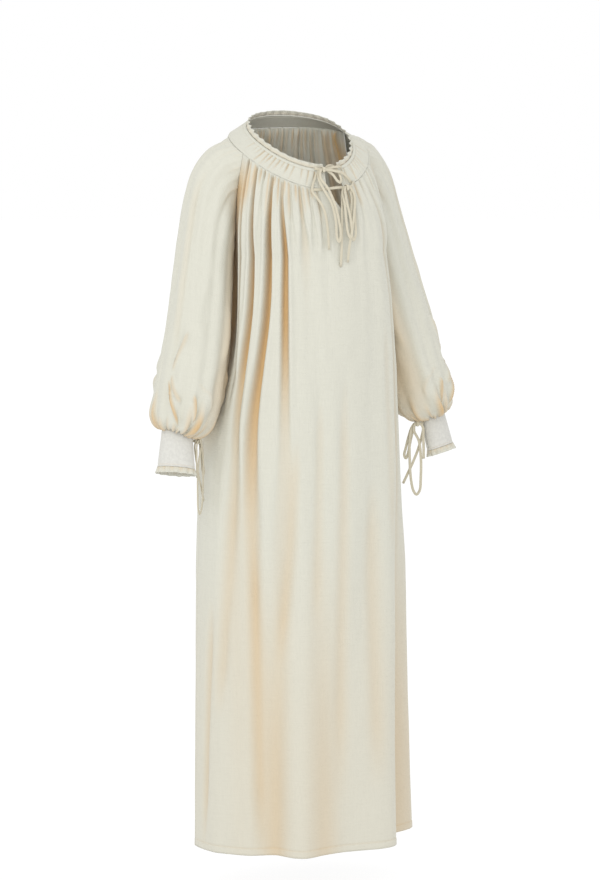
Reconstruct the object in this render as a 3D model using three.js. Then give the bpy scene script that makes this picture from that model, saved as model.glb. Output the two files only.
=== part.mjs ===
// Long gathered chemise dress with full raglan sleeves, neck band, cuffs and ties.
// Millimetres, +Z up, front faces -Y, the wearer's left is +X.
// The origin is the middle of the neck opening.
import * as THREE from 'three';

// Cloth
const bodyCloth = 1.3;
const bandCloth = 2.0;
const frillCloth = 1.0;
const seamGap = 0.32;

// Neck line along the upper drawstring, and the seam under the band
const neckLine = { halfWidth: 98, halfDepth: 95.5, centreY: -13.5, height: -13.5, tilt: -43.5, shoulder: 12 };
const bandSeam = { halfWidth: 133, halfDepth: 115, centreY: -10, height: -44, tilt: -49, shoulder: 26 };

// Slit at the centre front
const slitCentreTop = 10;
const slitCentreLow = 16;
const slitHalfTop = 14;
const slitHalfSeam = 18;

// Raglan seams: angle from the front at the band and at the underarm
const raglanFront = 78;
const raglanBack = 113;
const sideSeam = 97;
const underarmHeight = -212;
const hemHeight = -1308;

// Sections of the skirt and chest, square is the superellipse exponent,
// side is how far the arm lets the cloth out, span is the length pressed by the arm
const bodySections = [
  { z: -150, width: 146, depth: 137, centreX: 0, centreY: -5, square: 2.5, side: 133, sideY: 14, span: 78 },
  { z: -212, width: 155, depth: 146, centreX: 0, centreY: -6, square: 2.5, side: 128, sideY: 10, span: 80 },
  { z: -305, width: 168, depth: 152, centreX: 0, centreY: -12, square: 2.4, side: 131, sideY: 0, span: 84 },
  { z: -400, width: 178, depth: 156, centreX: -1, centreY: -14, square: 2.3, side: 152, sideY: -16, span: 84 },
  { z: -490, width: 186, depth: 159, centreX: -3, centreY: -15, square: 2.2, side: 175, sideY: -28, span: 80 },
  { z: -560, width: 191, depth: 161, centreX: -3, centreY: -16, square: 2.15, side: 191, sideY: -28, span: 80 },
  { z: -786, width: 205, depth: 165, centreX: -3, centreY: -19, square: 2.0, side: 205, sideY: -28, span: 80 },
  { z: -1040, width: 212, depth: 168, centreX: -3, centreY: -23, square: 2.0, side: 212, sideY: -28, span: 80 },
  { z: -1308, width: 218, depth: 170, centreX: -3, centreY: -29, square: 2.0, side: 218, sideY: -28, span: 80 },
];

// Rows down the panels: share of the way from band to underarm, then heights
const yokeRows = [0, 0.07, 0.17, 0.32, 0.5, 0.74, 1];
const skirtRows = [-258, -315, -385, -465, -570, -710, -870, -1040, -1190, hemHeight];

// Gathers of the front: angle and depth at the band, bust, hip and hem, and width in mm
const frontGathers = [
  { band: -71, bust: -70, hip: -69, hem: -66, top: 5, mid: 9, low: 3, end: 1, width: 7 },
  { band: -62, bust: -59, hip: -65, hem: -58, top: 7, mid: 15, low: 8, end: 5, width: 8 },
  { band: -55, bust: -53.5, hip: -57, hem: -50, top: 3, mid: 2, low: 1, end: 0, width: 5 },
  { band: -48, bust: -47.5, hip: -54, hem: -43, top: 8, mid: 17, low: 13, end: 7, width: 9 },
  { band: -40, bust: -36.5, hip: -34, hem: -38, top: 6, mid: 13, low: 6, end: 13, width: 8 },
  { band: -33, bust: -31, hip: -28, hem: -31, top: 3, mid: 3, low: 2, end: 4, width: 5 },
  { band: -26, bust: -23, hip: -20, hem: -22, top: 4, mid: 6, low: 2, end: -20, width: 8 },
  { band: -18, bust: -16, hip: -14, hem: -13, top: 3, mid: 4, low: 3, end: 12, width: 6 },
  { band: -11, bust: -9, hip: -7, hem: -6, top: 3, mid: 3, low: 1, end: 2, width: 6 },
  { band: 18, bust: 15, hip: 11, hem: 9, top: 3, mid: 2, low: 1, end: 3, width: 6 },
  { band: 25, bust: 24, hip: 21, hem: 19, top: 3, mid: 2, low: 2, end: 2, width: 7 },
  { band: 33, bust: 35, hip: 34, hem: 29, top: 3, mid: -4, low: -6, end: -14, width: 9 },
  { band: 41, bust: 48, hip: 50, hem: 46, top: 4, mid: 7, low: 12, end: 34, width: 14 },
  { band: 52, bust: 61, hip: 65, hem: 62, top: 4, mid: 3, low: 3, end: 14, width: 12 },
  { band: 65, bust: 73, hip: 77, hem: 76, top: 4, mid: 3, low: -2, end: -6, width: 9 },
];

// Gathers of the back
const backGathers = [
  { band: 120, bust: 107, hip: 106, hem: 106, top: 4, mid: 4, low: 3, end: 8, width: 9 },
  { band: 131, bust: 121, hip: 121, hem: 122, top: 5, mid: 10, low: 10, end: 18, width: 11 },
  { band: 143, bust: 136, hip: 137, hem: 139, top: 4, mid: 7, low: 5, end: 6, width: 9 },
  { band: 155, bust: 151, hip: 152, hem: 153, top: 5, mid: 12, low: 12, end: 22, width: 11 },
  { band: 167, bust: 165, hip: 166, hem: 168, top: 4, mid: 6, low: 4, end: 5, width: 8 },
  { band: 179, bust: 180, hip: 181, hem: 182, top: 5, mid: 11, low: 10, end: 19, width: 11 },
  { band: 191, bust: 194, hip: 195, hem: 195, top: 4, mid: 6, low: 5, end: 6, width: 8 },
  { band: 203, bust: 209, hip: 209, hem: 208, top: 5, mid: 12, low: 11, end: 21, width: 11 },
  { band: 216, bust: 224, hip: 223, hem: 222, top: 4, mid: 7, low: 5, end: 5, width: 9 },
  { band: 228, bust: 238, hip: 238, hem: 237, top: 5, mid: 9, low: 9, end: 17, width: 11 },
  { band: 239, bust: 253, hip: 254, hem: 254, top: 4, mid: 4, low: 3, end: 7, width: 9 },
];

// Sleeve sections, wearer's left: each ring runs from an outer to an inner point,
// blend is how far the ring has left the seam
const sleeveSections = [
  { outerX: 163, outerZ: -13, innerX: 131.5, innerZ: -214, centreY: 22, innerY: 12, depth: 50, blend: 0.34, fold: 0.5 },
  { outerX: 190, outerZ: -32, innerX: 132, innerZ: -217, centreY: 26, innerY: 12, depth: 53, blend: 0.68, fold: 0.9 },
  { outerX: 206, outerZ: -68, innerX: 133, innerZ: -222, centreY: 25, innerY: 12, depth: 55, blend: 0.92, fold: 1 },
  { outerX: 217, outerZ: -115, innerX: 134, innerZ: -230, centreY: 23, innerY: 12, depth: 56, blend: 1, fold: 1 },
  { outerX: 231, outerZ: -172, innerX: 135.5, innerZ: -246, centreY: 16, innerY: 10, depth: 57, blend: 1, fold: 0.9 },
  { outerX: 245, outerZ: -234, innerX: 137.5, innerZ: -276, centreY: 8, innerY: 6, depth: 59, blend: 1, fold: 0.8 },
  { outerX: 262, outerZ: -300, innerX: 144, innerZ: -326, centreY: -3, innerY: -3, depth: 61, blend: 1, fold: 0.8 },
  { outerX: 278, outerZ: -360, innerX: 155, innerZ: -382, centreY: -13, innerY: -13, depth: 64, blend: 1, fold: 0.9 },
  { outerX: 293, outerZ: -415, innerX: 169, innerZ: -440, centreY: -20, innerY: -20, depth: 65, blend: 1, fold: 1 },
  { outerX: 305, outerZ: -458, innerX: 183, innerZ: -488, centreY: -27, innerY: -27, depth: 64, blend: 1, fold: 1 },
  { outerX: 311, outerZ: -488, innerX: 199, innerZ: -520, centreY: -31, innerY: -31, depth: 58, blend: 1, fold: 1.2 },
  { outerX: 308, outerZ: -507, innerX: 218, innerZ: -535, centreY: -35, innerY: -35, depth: 47, blend: 1, fold: 1.5 },
  { outerX: 300, outerZ: -516, innerX: 238, innerZ: -537, centreY: -38, innerY: -38, depth: 32, blend: 1, fold: 1.3 },
];

// Long folds of a sleeve: angle round the arm (0 outside, 90 front, 180 inside),
// depth at the shoulder, elbow and cuff, and width in degrees
const sleeveFolds = [
  { angle: 0, shoulder: 3, elbow: 2, cuff: 4, width: 9 },
  { angle: 28, shoulder: 6, elbow: 5, cuff: 3, width: 9 },
  { angle: 55, shoulder: 4, elbow: 2, cuff: 5, width: 8 },
  { angle: 82, shoulder: 5, elbow: 4, cuff: 4, width: 8 },
  { angle: 112, shoulder: 2, elbow: 3, cuff: 5, width: 9 },
  { angle: 146, shoulder: 0, elbow: 2, cuff: 4, width: 9 },
  { angle: 180, shoulder: 0, elbow: 0, cuff: 4, width: 9 },
  { angle: 214, shoulder: 0, elbow: 2, cuff: 4, width: 9 },
  { angle: 248, shoulder: 2, elbow: 4, cuff: 5, width: 9 },
  { angle: 278, shoulder: 5, elbow: 3, cuff: 4, width: 8 },
  { angle: 305, shoulder: 4, elbow: 4, cuff: 5, width: 8 },
  { angle: 332, shoulder: 6, elbow: 3, cuff: 3, width: 9 },
];

// Cuffs, wearer's left: top and bottom rings, wide and narrow half sizes
const cuffTop = { x: 271, y: -39, z: -528, wide: 27.5, narrow: 18, slope: 0.24 };
const cuffBottom = { x: 281, y: -53, z: -592, wide: 34, narrow: 20.5, slope: 0.05 };
const cuffTurn = 28;
const cuffSlitAngle = 168;
const cuffSlitGap = 3.2;
const cuffColumns = 26;

// Frills
const neckFrill = { height: 8.5, wave: 2.1, waves: 34 };
const cuffFrill = { height: 11, flare: 2.5, wave: 2.0, waves: 13 };

// Ties: width and thickness of the tape
const tapeWidth = 5;
const tapeThickness = 1.2;

const rad = Math.PI / 180;

function lerp(a, b, t) {
  return a + (b - a) * t;
}

function ease(t) {
  const c = Math.min(1, Math.max(0, t));
  return c * c * (3 - 2 * c);
}

// Smooth value of a column of a table at a height, rows go down
function sample(table, column, z) {
  let i = 0;
  while (i < table.length - 2 && z < table[i + 1].z) i += 1;
  const slope = (k) => {
    const a = table[Math.max(0, k - 1)];
    const b = table[Math.min(table.length - 1, k + 1)];
    return (b[column] - a[column]) / (b.z - a.z);
  };
  const p = table[i];
  const q = table[i + 1];
  const h = q.z - p.z;
  const t = Math.min(1, Math.max(0, (z - p.z) / h));
  const t2 = t * t;
  const t3 = t2 * t;
  return (2 * t3 - 3 * t2 + 1) * p[column] + (t3 - 2 * t2 + t) * h * slope(i)
    + (-2 * t3 + 3 * t2) * q[column] + (t3 - t2) * h * slope(i + 1);
}

// Point of a neck ring at an angle from the front towards the wearer's left
function neckRing(ring, degrees) {
  const s = Math.sin(degrees * rad);
  const c = Math.cos(degrees * rad);
  return new THREE.Vector3(
    ring.halfWidth * s,
    ring.centreY - ring.halfDepth * c,
    ring.height + ring.tilt * c + ring.shoulder * s * s,
  );
}

// Point of a body section, pressed in beside the arm
function bodySection(z, degrees) {
  const s = Math.sin(degrees * rad);
  const c = Math.cos(degrees * rad);
  const n = sample(bodySections, 'square', z);
  const a = sample(bodySections, 'width', z);
  const b = sample(bodySections, 'depth', z);
  const r = Math.pow(Math.pow(Math.abs(s), n) + Math.pow(Math.abs(c), n), -1 / n);
  let x = a * s * r;
  const y = sample(bodySections, 'centreY', z) - b * c * r;
  const off = (y - sample(bodySections, 'sideY', z)) / sample(bodySections, 'span', z);
  const press = Math.max(0, 1 - off * off) ** 1.6;
  const side = Math.min(a, sample(bodySections, 'side', z));
  const most = lerp(a, side, press);
  if (Math.abs(x) > most) x = Math.sign(x) * most;
  return new THREE.Vector3(x + sample(bodySections, 'centreX', z), y, z);
}

// Smooth body surface: down is 0 to 1 from band to underarm, below that a height
function bodySurface(row, degrees) {
  if (row.share === undefined) return bodySection(row.z, degrees);
  const top = neckRing(bandSeam, degrees);
  const low = bodySection(underarmHeight, degrees);
  const out = Math.sin(row.share * Math.PI / 2) ** 0.9;
  const bulge = 5 * Math.sin(row.share * Math.PI) * (1 - 0.5 * Math.abs(Math.cos(degrees * rad)));
  const p = new THREE.Vector3(lerp(top.x, low.x, out), lerp(top.y, low.y, out), lerp(top.z, low.z, row.share));
  const flat = new THREE.Vector3(p.x, p.y + 10, 0).normalize();
  return p.addScaledVector(flat, bulge * (1 - 0.8 * Math.abs(Math.sin(degrees * rad)) ** 6));
}

const rows = yokeRows.map((share) => ({ share }))
  .concat(skirtRows.map((z) => ({ z })));
const underarmRow = yokeRows.length - 1;

// Value of a gather between its four stations, by the distance down the dress
function alongBody(row, band, bust, hip, hem) {
  if (row.share !== undefined) return lerp(band, bust, ease(row.share * 0.94));
  if (row.z > -258) return bust;
  if (row.z > -560) return lerp(bust, hip, ease((-258 - row.z) / 302));
  return lerp(hip, hem, ease((-560 - row.z) / 748));
}

function gatherAngle(g, row) {
  return alongBody(row, g.band, g.bust, g.hip, g.hem);
}

function gatherDepth(g, row) {
  if (row.share !== undefined) {
    const start = Math.min(1, row.share / 0.07);
    return start * lerp(g.top, g.mid, ease(row.share));
  }
  return alongBody(row, g.top, g.mid, g.low, g.end);
}

// Outward offset of the cloth from all gathers of a panel
function gatherOffset(gathers, row, degrees, radius) {
  let offset = 0;
  for (const g of gathers) {
    const widen = row.share !== undefined ? 1 : lerp(1, 2.6, ease((-212 - row.z) / 1000));
    const away = (degrees - gatherAngle(g, row)) * rad * radius / (g.width * widen);
    offset -= gatherDepth(g, row) * Math.exp(-away * away);
  }
  return offset;
}

function clothPoint(gathers, row, degrees) {
  const p = bodySurface(row, degrees);
  const centre = new THREE.Vector3(0, -12, p.z);
  const out = p.clone().sub(centre);
  const radius = out.length();
  out.normalize();
  const near = Math.min(Math.abs(degrees - row.edgeA), Math.abs(degrees - row.edgeB));
  const settle = ease(near / 7);
  return p.addScaledVector(out, gatherOffset(gathers, row, degrees, radius) * settle);
}

// Columns of a panel: its two edges, each gather with its two flanks, and midway lines
function panelColumns(gathers, row, edgeA, edgeB, radius, slit) {
  const lines = [edgeA];
  const last = gathers.length - 1;
  for (let k = 0; k <= last; k += 1) {
    const g = gathers[k];
    const at = gatherAngle(g, row);
    const before = k === 0 ? edgeA : gatherAngle(gathers[k - 1], row);
    const after = k === last ? edgeB : gatherAngle(gathers[k + 1], row);
    const mid = (before + at) / 2;
    lines.push(mid);
    if (g.width > 7.5) lines.push(lerp(at, mid, 0.52));
    lines.push(at);
    if (g.width > 7.5) lines.push(lerp(at, (at + after) / 2, 0.52));
    if (k === last) lines.push((at + edgeB) / 2);
  }
  lines.push(edgeB);
  if (slit) {
    // the midway line over the slit gives way to the slit's two edges
    const before = gathers.filter((g) => g.band < 0).length - 1;
    const from = lines.indexOf(gatherAngle(gathers[before], row));
    const next = lines.indexOf((gatherAngle(gathers[before], row) + gatherAngle(gathers[before + 1], row)) / 2);
    lines.splice(next > from ? next : from + 1, 1, ...slit(row));
  }
  return lines;
}

// The two edges of the slit in degrees at a row, closing at its last row
const slitRows = 3;
function slitAngles(row) {
  if (row.share === undefined) return [1.5, 5.5];
  const k = yokeRows.indexOf(row.share);
  const half = k > slitRows ? 4.5 : lerp(slitHalfSeam, 1.4, (k / slitRows) ** 1.5);
  const centre = lerp(slitCentreTop, slitCentreLow, Math.min(1, k / slitRows));
  return [centre - half, centre + half].map((x) => Math.asin(x / bandSeam.halfWidth) / rad);
}

// One closed wall from a grid of points: inner side moved in along the normals
function clothWall(points, options) {
  const closed = options.closed === true;
  const thick = options.thickness;
  const keep = options.keep || (() => true);
  const count = points.length;
  const across = points[0].length;
  const spans = closed ? across : across - 1;
  const normals = points.map((row) => row.map(() => new THREE.Vector3()));
  const face = new THREE.Vector3();
  for (let i = 0; i < count - 1; i += 1) {
    for (let j = 0; j < spans; j += 1) {
      if (!keep(i, j)) continue;
      const k = (j + 1) % across;
      const d1 = points[i + 1][k].clone().sub(points[i][j]);
      const d2 = points[i + 1][j].clone().sub(points[i][k]);
      face.crossVectors(d2, d1).normalize();
      for (const [r, c] of [[i, j], [i, k], [i + 1, j], [i + 1, k]]) normals[r][c].add(face);
    }
  }
  const sign = options.flip ? -1 : 1;
  const vertices = [];
  const outer = [];
  const inner = [];
  for (let i = 0; i < count; i += 1) {
    outer.push([]);
    inner.push([]);
    for (let j = 0; j < across; j += 1) {
      const set = options.edgeNormal ? options.edgeNormal(i, j, points[i][j]) : null;
      const n = set || normals[i][j].normalize().multiplyScalar(sign);
      outer[i].push(vertices.length / 3);
      vertices.push(points[i][j].x, points[i][j].y, points[i][j].z);
      const q = points[i][j].clone().addScaledVector(n, -thick);
      inner[i].push(vertices.length / 3);
      vertices.push(q.x, q.y, q.z);
    }
  }
  const index = [];
  const quad = (a, b, c, d) => {
    if (options.flip) index.push(a, c, b, a, d, c);
    else index.push(a, b, c, a, c, d);
  };
  const kept = (i, j) => {
    if (i < 0 || i >= count - 1) return false;
    if (!closed && (j < 0 || j >= spans)) return false;
    return keep(i, (j + spans) % spans);
  };
  for (let i = 0; i < count - 1; i += 1) {
    for (let j = 0; j < spans; j += 1) {
      if (!keep(i, j)) continue;
      const k = (j + 1) % across;
      quad(outer[i][j], outer[i + 1][j], outer[i + 1][k], outer[i][k]);
      quad(inner[i][j], inner[i][k], inner[i + 1][k], inner[i + 1][j]);
      if (!kept(i - 1, j)) quad(outer[i][j], outer[i][k], inner[i][k], inner[i][j]);
      if (!kept(i + 1, j)) quad(outer[i + 1][k], outer[i + 1][j], inner[i + 1][j], inner[i + 1][k]);
      if (!kept(i, j - 1)) quad(outer[i + 1][j], outer[i][j], inner[i][j], inner[i + 1][j]);
      if (!kept(i, j + 1)) quad(outer[i][k], outer[i + 1][k], inner[i + 1][k], inner[i][k]);
    }
  }
  const geometry = new THREE.BufferGeometry();
  geometry.setAttribute('position', new THREE.Float32BufferAttribute(vertices, 3));
  geometry.setIndex(index);
  geometry.computeVertexNormals();
  return geometry;
}

// Angle of the raglan and side seams at a row
function seamAngle(from, row) {
  if (row.share === undefined) return sideSeam;
  return lerp(from, sideSeam, ease(row.share) * 0.6 + row.share * 0.4);
}

// Direction in which every piece takes its thickness at a shared seam
function seamNormal(p) {
  return new THREE.Vector3(p.x, p.y + 10, 60 + 0.1 * p.z).normalize();
}

function panelPoints(gathers, from, to, slit) {
  return rows.map((base) => {
    const row = { ...base };
    const radius = 150;
    const gapAngle = (seamGap / 2) / 140 / rad;
    row.edgeA = from(row) + gapAngle;
    row.edgeB = to(row) - gapAngle;
    const lines = panelColumns(gathers, row, row.edgeA, row.edgeB, radius, slit);
    return lines.map((degrees) => clothPoint(gathers, row, degrees));
  });
}

const frontPoints = panelPoints(
  frontGathers,
  (row) => -seamAngle(raglanFront, row),
  (row) => seamAngle(raglanFront, row),
  slitAngles,
);
const backPoints = panelPoints(
  backGathers,
  (row) => seamAngle(raglanBack, row),
  (row) => 360 - seamAngle(raglanBack, row),
  null,
);

// Ring-shaped edge of a panel gets the common seam direction
function panelEdgeNormal(points) {
  const last = points[0].length - 1;
  return (i, j, p) => {
    if (i === 0) return seamNormal(p);
    if (j === 0 || j === last) return i < underarmRow ? seamNormal(p) : sideNormal(p);
    return null;
  };
}

function sideNormal(p) {
  return new THREE.Vector3(Math.sign(p.x), 0.05 * Math.sign(p.y + 20), 0).normalize();
}

function slitColumn(points) {
  return points[0].findIndex((p, j) => j > 0 && p.x - points[0][j - 1].x > 2 * slitHalfSeam - 3) - 1;
}

const slitAt = slitColumn(frontPoints);
const parts = [];

function addPart(name, geometry, colour, roughness) {
  const material = new THREE.MeshStandardMaterial({ color: colour, roughness, metalness: 0 });
  const mesh = new THREE.Mesh(geometry, material);
  mesh.name = name;
  parts.push(mesh);
  return mesh;
}

const linen = 0xe4dfd0;
const cuffLinen = 0xe6e4df;

addPart('body_front', clothWall(frontPoints, {
  thickness: bodyCloth,
  keep: (i, j) => !(j === slitAt && i < slitRows),
  edgeNormal: panelEdgeNormal(frontPoints),
}), linen, 0.9);

addPart('body_back', clothWall(backPoints, {
  thickness: bodyCloth,
  edgeNormal: panelEdgeNormal(backPoints),
}), linen, 0.9);

// Sleeves: the first ring follows the raglan seams and the band over the shoulder
const capAngles = [80.5, 84.5, 89, 93.5, 98, 102.5, 106.5, 110];

function armhole() {
  const loop = [];
  const gap = seamGap;
  for (const angle of capAngles) {
    loop.push({ p: neckRing(bandSeam, angle), kind: 'cap' });
  }
  const back = [];
  const front = [];
  for (let i = 0; i <= underarmRow; i += 1) {
    const row = rows[i];
    const shift = gap / 140 / rad;
    front.push({ p: bodySurface(row, seamAngle(raglanFront, row) + shift), kind: 'front' });
    back.push({ p: bodySurface(row, seamAngle(raglanBack, row) - shift), kind: 'back' });
  }
  const low = front[underarmRow].p.clone().add(back[underarmRow].p).multiplyScalar(0.5);
  low.x += 0.5;
  return { cap: loop, front, back, low };
}

function sleevePoints(sideSign) {
  const hole = armhole();
  // columns start at the cap's middle and go to the front, under and to the back
  const half = capAngles.length / 2;
  const split = 2;
  const ring = [];
  for (let k = half - 1; k >= 0; k -= 1) ring.push(hole.cap[k].p);
  const middle = (a, b) => a.clone().lerp(b, 0.5);
  for (let k = 0; k < underarmRow; k += 1) {
    ring.push(hole.front[k].p);
    const next = k + 1 < underarmRow ? hole.front[k + 1].p : hole.low;
    if (k >= split) ring.push(middle(hole.front[k].p, next));
  }
  const lowAt = ring.length;
  ring.push(hole.low);
  for (let k = underarmRow - 1; k >= 0; k -= 1) {
    const next = k + 1 < underarmRow ? hole.back[k + 1].p : hole.low;
    if (k >= split) ring.push(middle(hole.back[k].p, next));
    ring.push(hole.back[k].p);
  }
  for (let k = capAngles.length - 1; k >= half; k -= 1) ring.push(hole.cap[k].p);
  const across = ring.length;
  // each column keeps its height as it leaves the seam
  const first = sleeveSections[0];
  const angles = ring.map((p, j) => {
    const fromTop = j <= lowAt ? j : across - 1 - j;
    const rise = (p.z - (first.outerZ + first.innerZ) / 2) / ((first.outerZ - first.innerZ) / 2);
    const level = Math.acos(Math.max(-1, Math.min(1, rise))) / rad;
    const spread = fromTop < half ? 5 + 8 * fromTop : Math.max(level, 5 + 6.5 * fromTop);
    const degrees = j === lowAt ? 180 : Math.min(spread, 176);
    return j <= lowAt ? degrees : 360 - degrees;
  });
  const out = [ring.map((p) => p.clone())];
  sleeveSections.forEach((s, r) => {
    const down = r / (sleeveSections.length - 1);
    const row = angles.map((degrees, j) => {
      const c = Math.cos(degrees * rad);
      const w = Math.sin(degrees * rad);
      let fold = 0;
      for (const f of sleeveFolds) {
        let away = Math.abs(degrees - f.angle);
        away = Math.min(away, 360 - away) / f.width;
        const deep = down < 0.5 ? lerp(f.shoulder, f.elbow, down * 2) : lerp(f.elbow, f.cuff, down * 2 - 1);
        fold += deep * s.fold * Math.exp(-away * away);
      }
      const grow = 1 - fold / 62;
      const cx = (s.outerX + s.innerX) / 2;
      const cz = (s.outerZ + s.innerZ) / 2;
      const hx = (s.outerX - s.innerX) / 2;
      const hz = (s.outerZ - s.innerZ) / 2;
      const cy = lerp(s.innerY, s.centreY, (1 + c) / 2);
      const q = new THREE.Vector3(cx + hx * c * grow, cy - s.depth * w * grow, cz + hz * c * grow);
      return ring[j].clone().lerp(q, s.blend);
    });
    out.push(row);
  });
  // last ring meets the cuff's top ring
  out.push(angles.map((degrees) => cuffPoint(degrees, 0, seamGap * 3)));
  return out.map((row) => row.map((p) => new THREE.Vector3(p.x * sideSign, p.y, p.z)));
}

// Axes of the cuff
const cuffAxis = new THREE.Vector3(
  cuffTop.x - cuffBottom.x,
  cuffTop.y - cuffBottom.y,
  cuffTop.z - cuffBottom.z,
).normalize();
const cuffWide = new THREE.Vector3(Math.cos(cuffTurn * rad), Math.sin(cuffTurn * rad), 0)
  .projectOnPlane(cuffAxis).normalize();
const cuffNarrow = new THREE.Vector3().crossVectors(cuffAxis, cuffWide).normalize();

// Point of the cuff, wearer's left: share 0 at its top, 1 at its bottom
function cuffPoint(degrees, share, lift, swell = 0) {
  const centre = new THREE.Vector3(
    lerp(cuffTop.x, cuffBottom.x, share),
    lerp(cuffTop.y, cuffBottom.y, share),
    lerp(cuffTop.z, cuffBottom.z, share),
  );
  const wide = lerp(cuffTop.wide, cuffBottom.wide, share) + swell;
  const narrow = lerp(cuffTop.narrow, cuffBottom.narrow, share) + swell;
  const turn = (degrees + cuffTurn) * rad;
  return centre.addScaledVector(cuffWide, wide * Math.cos(turn))
    .addScaledVector(cuffNarrow, -narrow * Math.sin(turn))
    .addScaledVector(cuffAxis, lift)
    .add(new THREE.Vector3(0, 0, lerp(cuffTop.slope, cuffBottom.slope, share) * wide * Math.cos(degrees * rad)));
}

function cuffStrip(shares, sideSign) {
  const gapAngle = cuffSlitGap / 30 / rad;
  return shares.map((share) => {
    const row = [];
    for (let k = 0; k <= cuffColumns; k += 1) {
      const degrees = cuffSlitAngle + gapAngle / 2 + (360 - gapAngle) * k / cuffColumns;
      row.push(cuffPoint(degrees, share, 0));
    }
    return row.map((p) => new THREE.Vector3(p.x * sideSign, p.y, p.z));
  });
}

function cuffFrillStrip(sideSign) {
  const gapAngle = cuffSlitGap / 30 / rad;
  const columns = cuffFrill.waves * 4;
  const out = [];
  for (const level of [0, 1]) {
    const row = [];
    for (let k = 0; k <= columns; k += 1) {
      const degrees = cuffSlitAngle + gapAngle / 2 + (360 - gapAngle) * k / columns;
      const wave = Math.sin(k / columns * cuffFrill.waves * 2 * Math.PI);
      const swell = level * (cuffFrill.flare + cuffFrill.wave * wave) + (1 - level) * 0.4 * wave;
      row.push(cuffPoint(degrees, 1, -0.5 - cuffFrill.height * level, swell));
    }
    out.push(row.map((p) => new THREE.Vector3(p.x * sideSign, p.y, p.z)));
  }
  return out;
}

for (const [side, sign] of [['left', 1], ['right', -1]]) {
  const flip = sign < 0;
  addPart(`sleeve_${side}`, clothWall(sleevePoints(sign), {
    closed: true,
    thickness: bodyCloth,
    flip: !flip,
    edgeNormal: (i, j, p) => {
      if (i === 0 && p.z > -45) return seamNormal(p);
      return null;
    },
  }), linen, 0.9);
  addPart(`cuff_${side}`, clothWall(cuffStrip([0, 0.5, 1], sign), {
    thickness: bandCloth,
    flip: !flip,
  }), cuffLinen, 0.88);
  addPart(`cuff_frill_${side}`, clothWall(cuffFrillStrip(sign), {
    thickness: frillCloth,
    flip: !flip,
  }), linen, 0.9);
}

// Neck band: columns repeat the gathers of the pieces below
function ringAngles(points) {
  return points.map((p) => Math.atan2(p.x / bandSeam.halfWidth, -(p.y - bandSeam.centreY) / bandSeam.halfDepth) / rad);
}

function bandAngles() {
  const front = ringAngles(frontPoints[0]);
  const right = front.slice(slitAt + 1);
  const left = front.slice(0, slitAt + 1);
  const back = ringAngles(backPoints[0]).map((v) => (v < 0 ? v + 360 : v));
  const cap = capAngles;
  const otherCap = capAngles.map((v) => 360 - v).reverse();
  return right.concat(cap, back, otherCap, left.map((v) => v + 360));
}

const bandRows = [
  { share: 0, out: 0.4 },
  { share: 0.2, out: 1.5, ruche: 0.4 },
  { share: 0.8, out: 1.1, ruche: 0.4 },
  { share: 1, out: 0 },
];

function bandPoints() {
  const angles = bandAngles();
  return bandRows.map((b, i) => angles.map((degrees, k) => {
    const top = neckRing(neckLine, degrees);
    const low = neckRing(bandSeam, degrees);
    const front = Math.abs(((degrees + 180) % 360) - 180);
    if (k === 0) top.x = slitCentreTop + slitHalfTop;
    if (k === angles.length - 1) top.x = slitCentreTop - slitHalfTop;
    const p = top.lerp(low, b.share);
    const up = low.clone().sub(neckRing(neckLine, degrees)).normalize();
    const normal = seamNormal(p);
    const ruche = (b.ruche || 0) * (k % 2 === 0 ? 1.2 : -3) * ease((95 - front) / 40);
    p.addScaledVector(normal, b.out + ruche);
    if (i === bandRows.length - 1) p.addScaledVector(up, -seamGap * 1.4);
    return p;
  }));
}

addPart('neck_band', clothWall(bandPoints(), {
  thickness: bandCloth,
  edgeNormal: (i, j, p) => (i === bandRows.length - 1 ? seamNormal(p) : null),
}), linen, 0.9);

const neckFrillStart = Math.asin((slitCentreTop + slitHalfTop + 1) / neckLine.halfWidth) / rad;
const neckFrillEnd = 360 + Math.asin((slitCentreTop - slitHalfTop - 1) / neckLine.halfWidth) / rad;

function neckFrillPoints() {
  const columns = neckFrill.waves * 4;
  return [0, 1].map((level) => {
    const row = [];
    for (let k = 0; k <= columns; k += 1) {
      const degrees = neckFrillStart + (neckFrillEnd - neckFrillStart) * k / columns;
      const p = neckRing(neckLine, degrees);
      const low = neckRing(bandSeam, degrees);
      const up = p.clone().sub(low).normalize();
      const out = new THREE.Vector3(p.x, p.y + 13, 0).normalize();
      const wave = Math.sin(k / 4 * 2 * Math.PI) * neckFrill.wave;
      up.z += 1.1;
      up.normalize();
      p.addScaledVector(up, 0.6 + neckFrill.height * level);
      p.addScaledVector(out, level * wave + (1 - level) * wave * 0.2 - 0.5);
      row.push(p);
    }
    return row;
  });
}

addPart('neck_frill', clothWall(neckFrillPoints(), { thickness: frillCloth }), linen, 0.9);

// Depth of the smooth cloth at the front, at a place across and up
function frontDepth(x, z) {
  let best = null;
  const consider = (p) => {
    if (!best || Math.abs(p.z - z) < Math.abs(best.z - z)) best = p;
  };
  for (let k = 0; k <= 40; k += 1) {
    const t = k / 40;
    const low = neckRing(bandSeam, Math.asin(x / bandSeam.halfWidth) / rad);
    consider(neckRing(neckLine, Math.asin(x / neckLine.halfWidth) / rad).lerp(low, t));
    consider(bodySurface({ share: t }, Math.asin(x / lerp(bandSeam.halfWidth, 155, t)) / rad));
  }
  return best.y;
}

// Ties: place of each knot and the layers of tape in it, counted out from the cloth
const layerOff = [6, 8.2, 10.4, 12.6];
const knotMiddle = 9.3;
const knotHalfLength = 3;

const neckUpperKnot = { x: -12, z: -57 };
const neckLowerKnot = { x: 31, z: -90 };
const cuffKnot = { x: 234, y: -50, z: -546 };
const cuffTieAcross = { x: 0.866, y: -0.5 };

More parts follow.
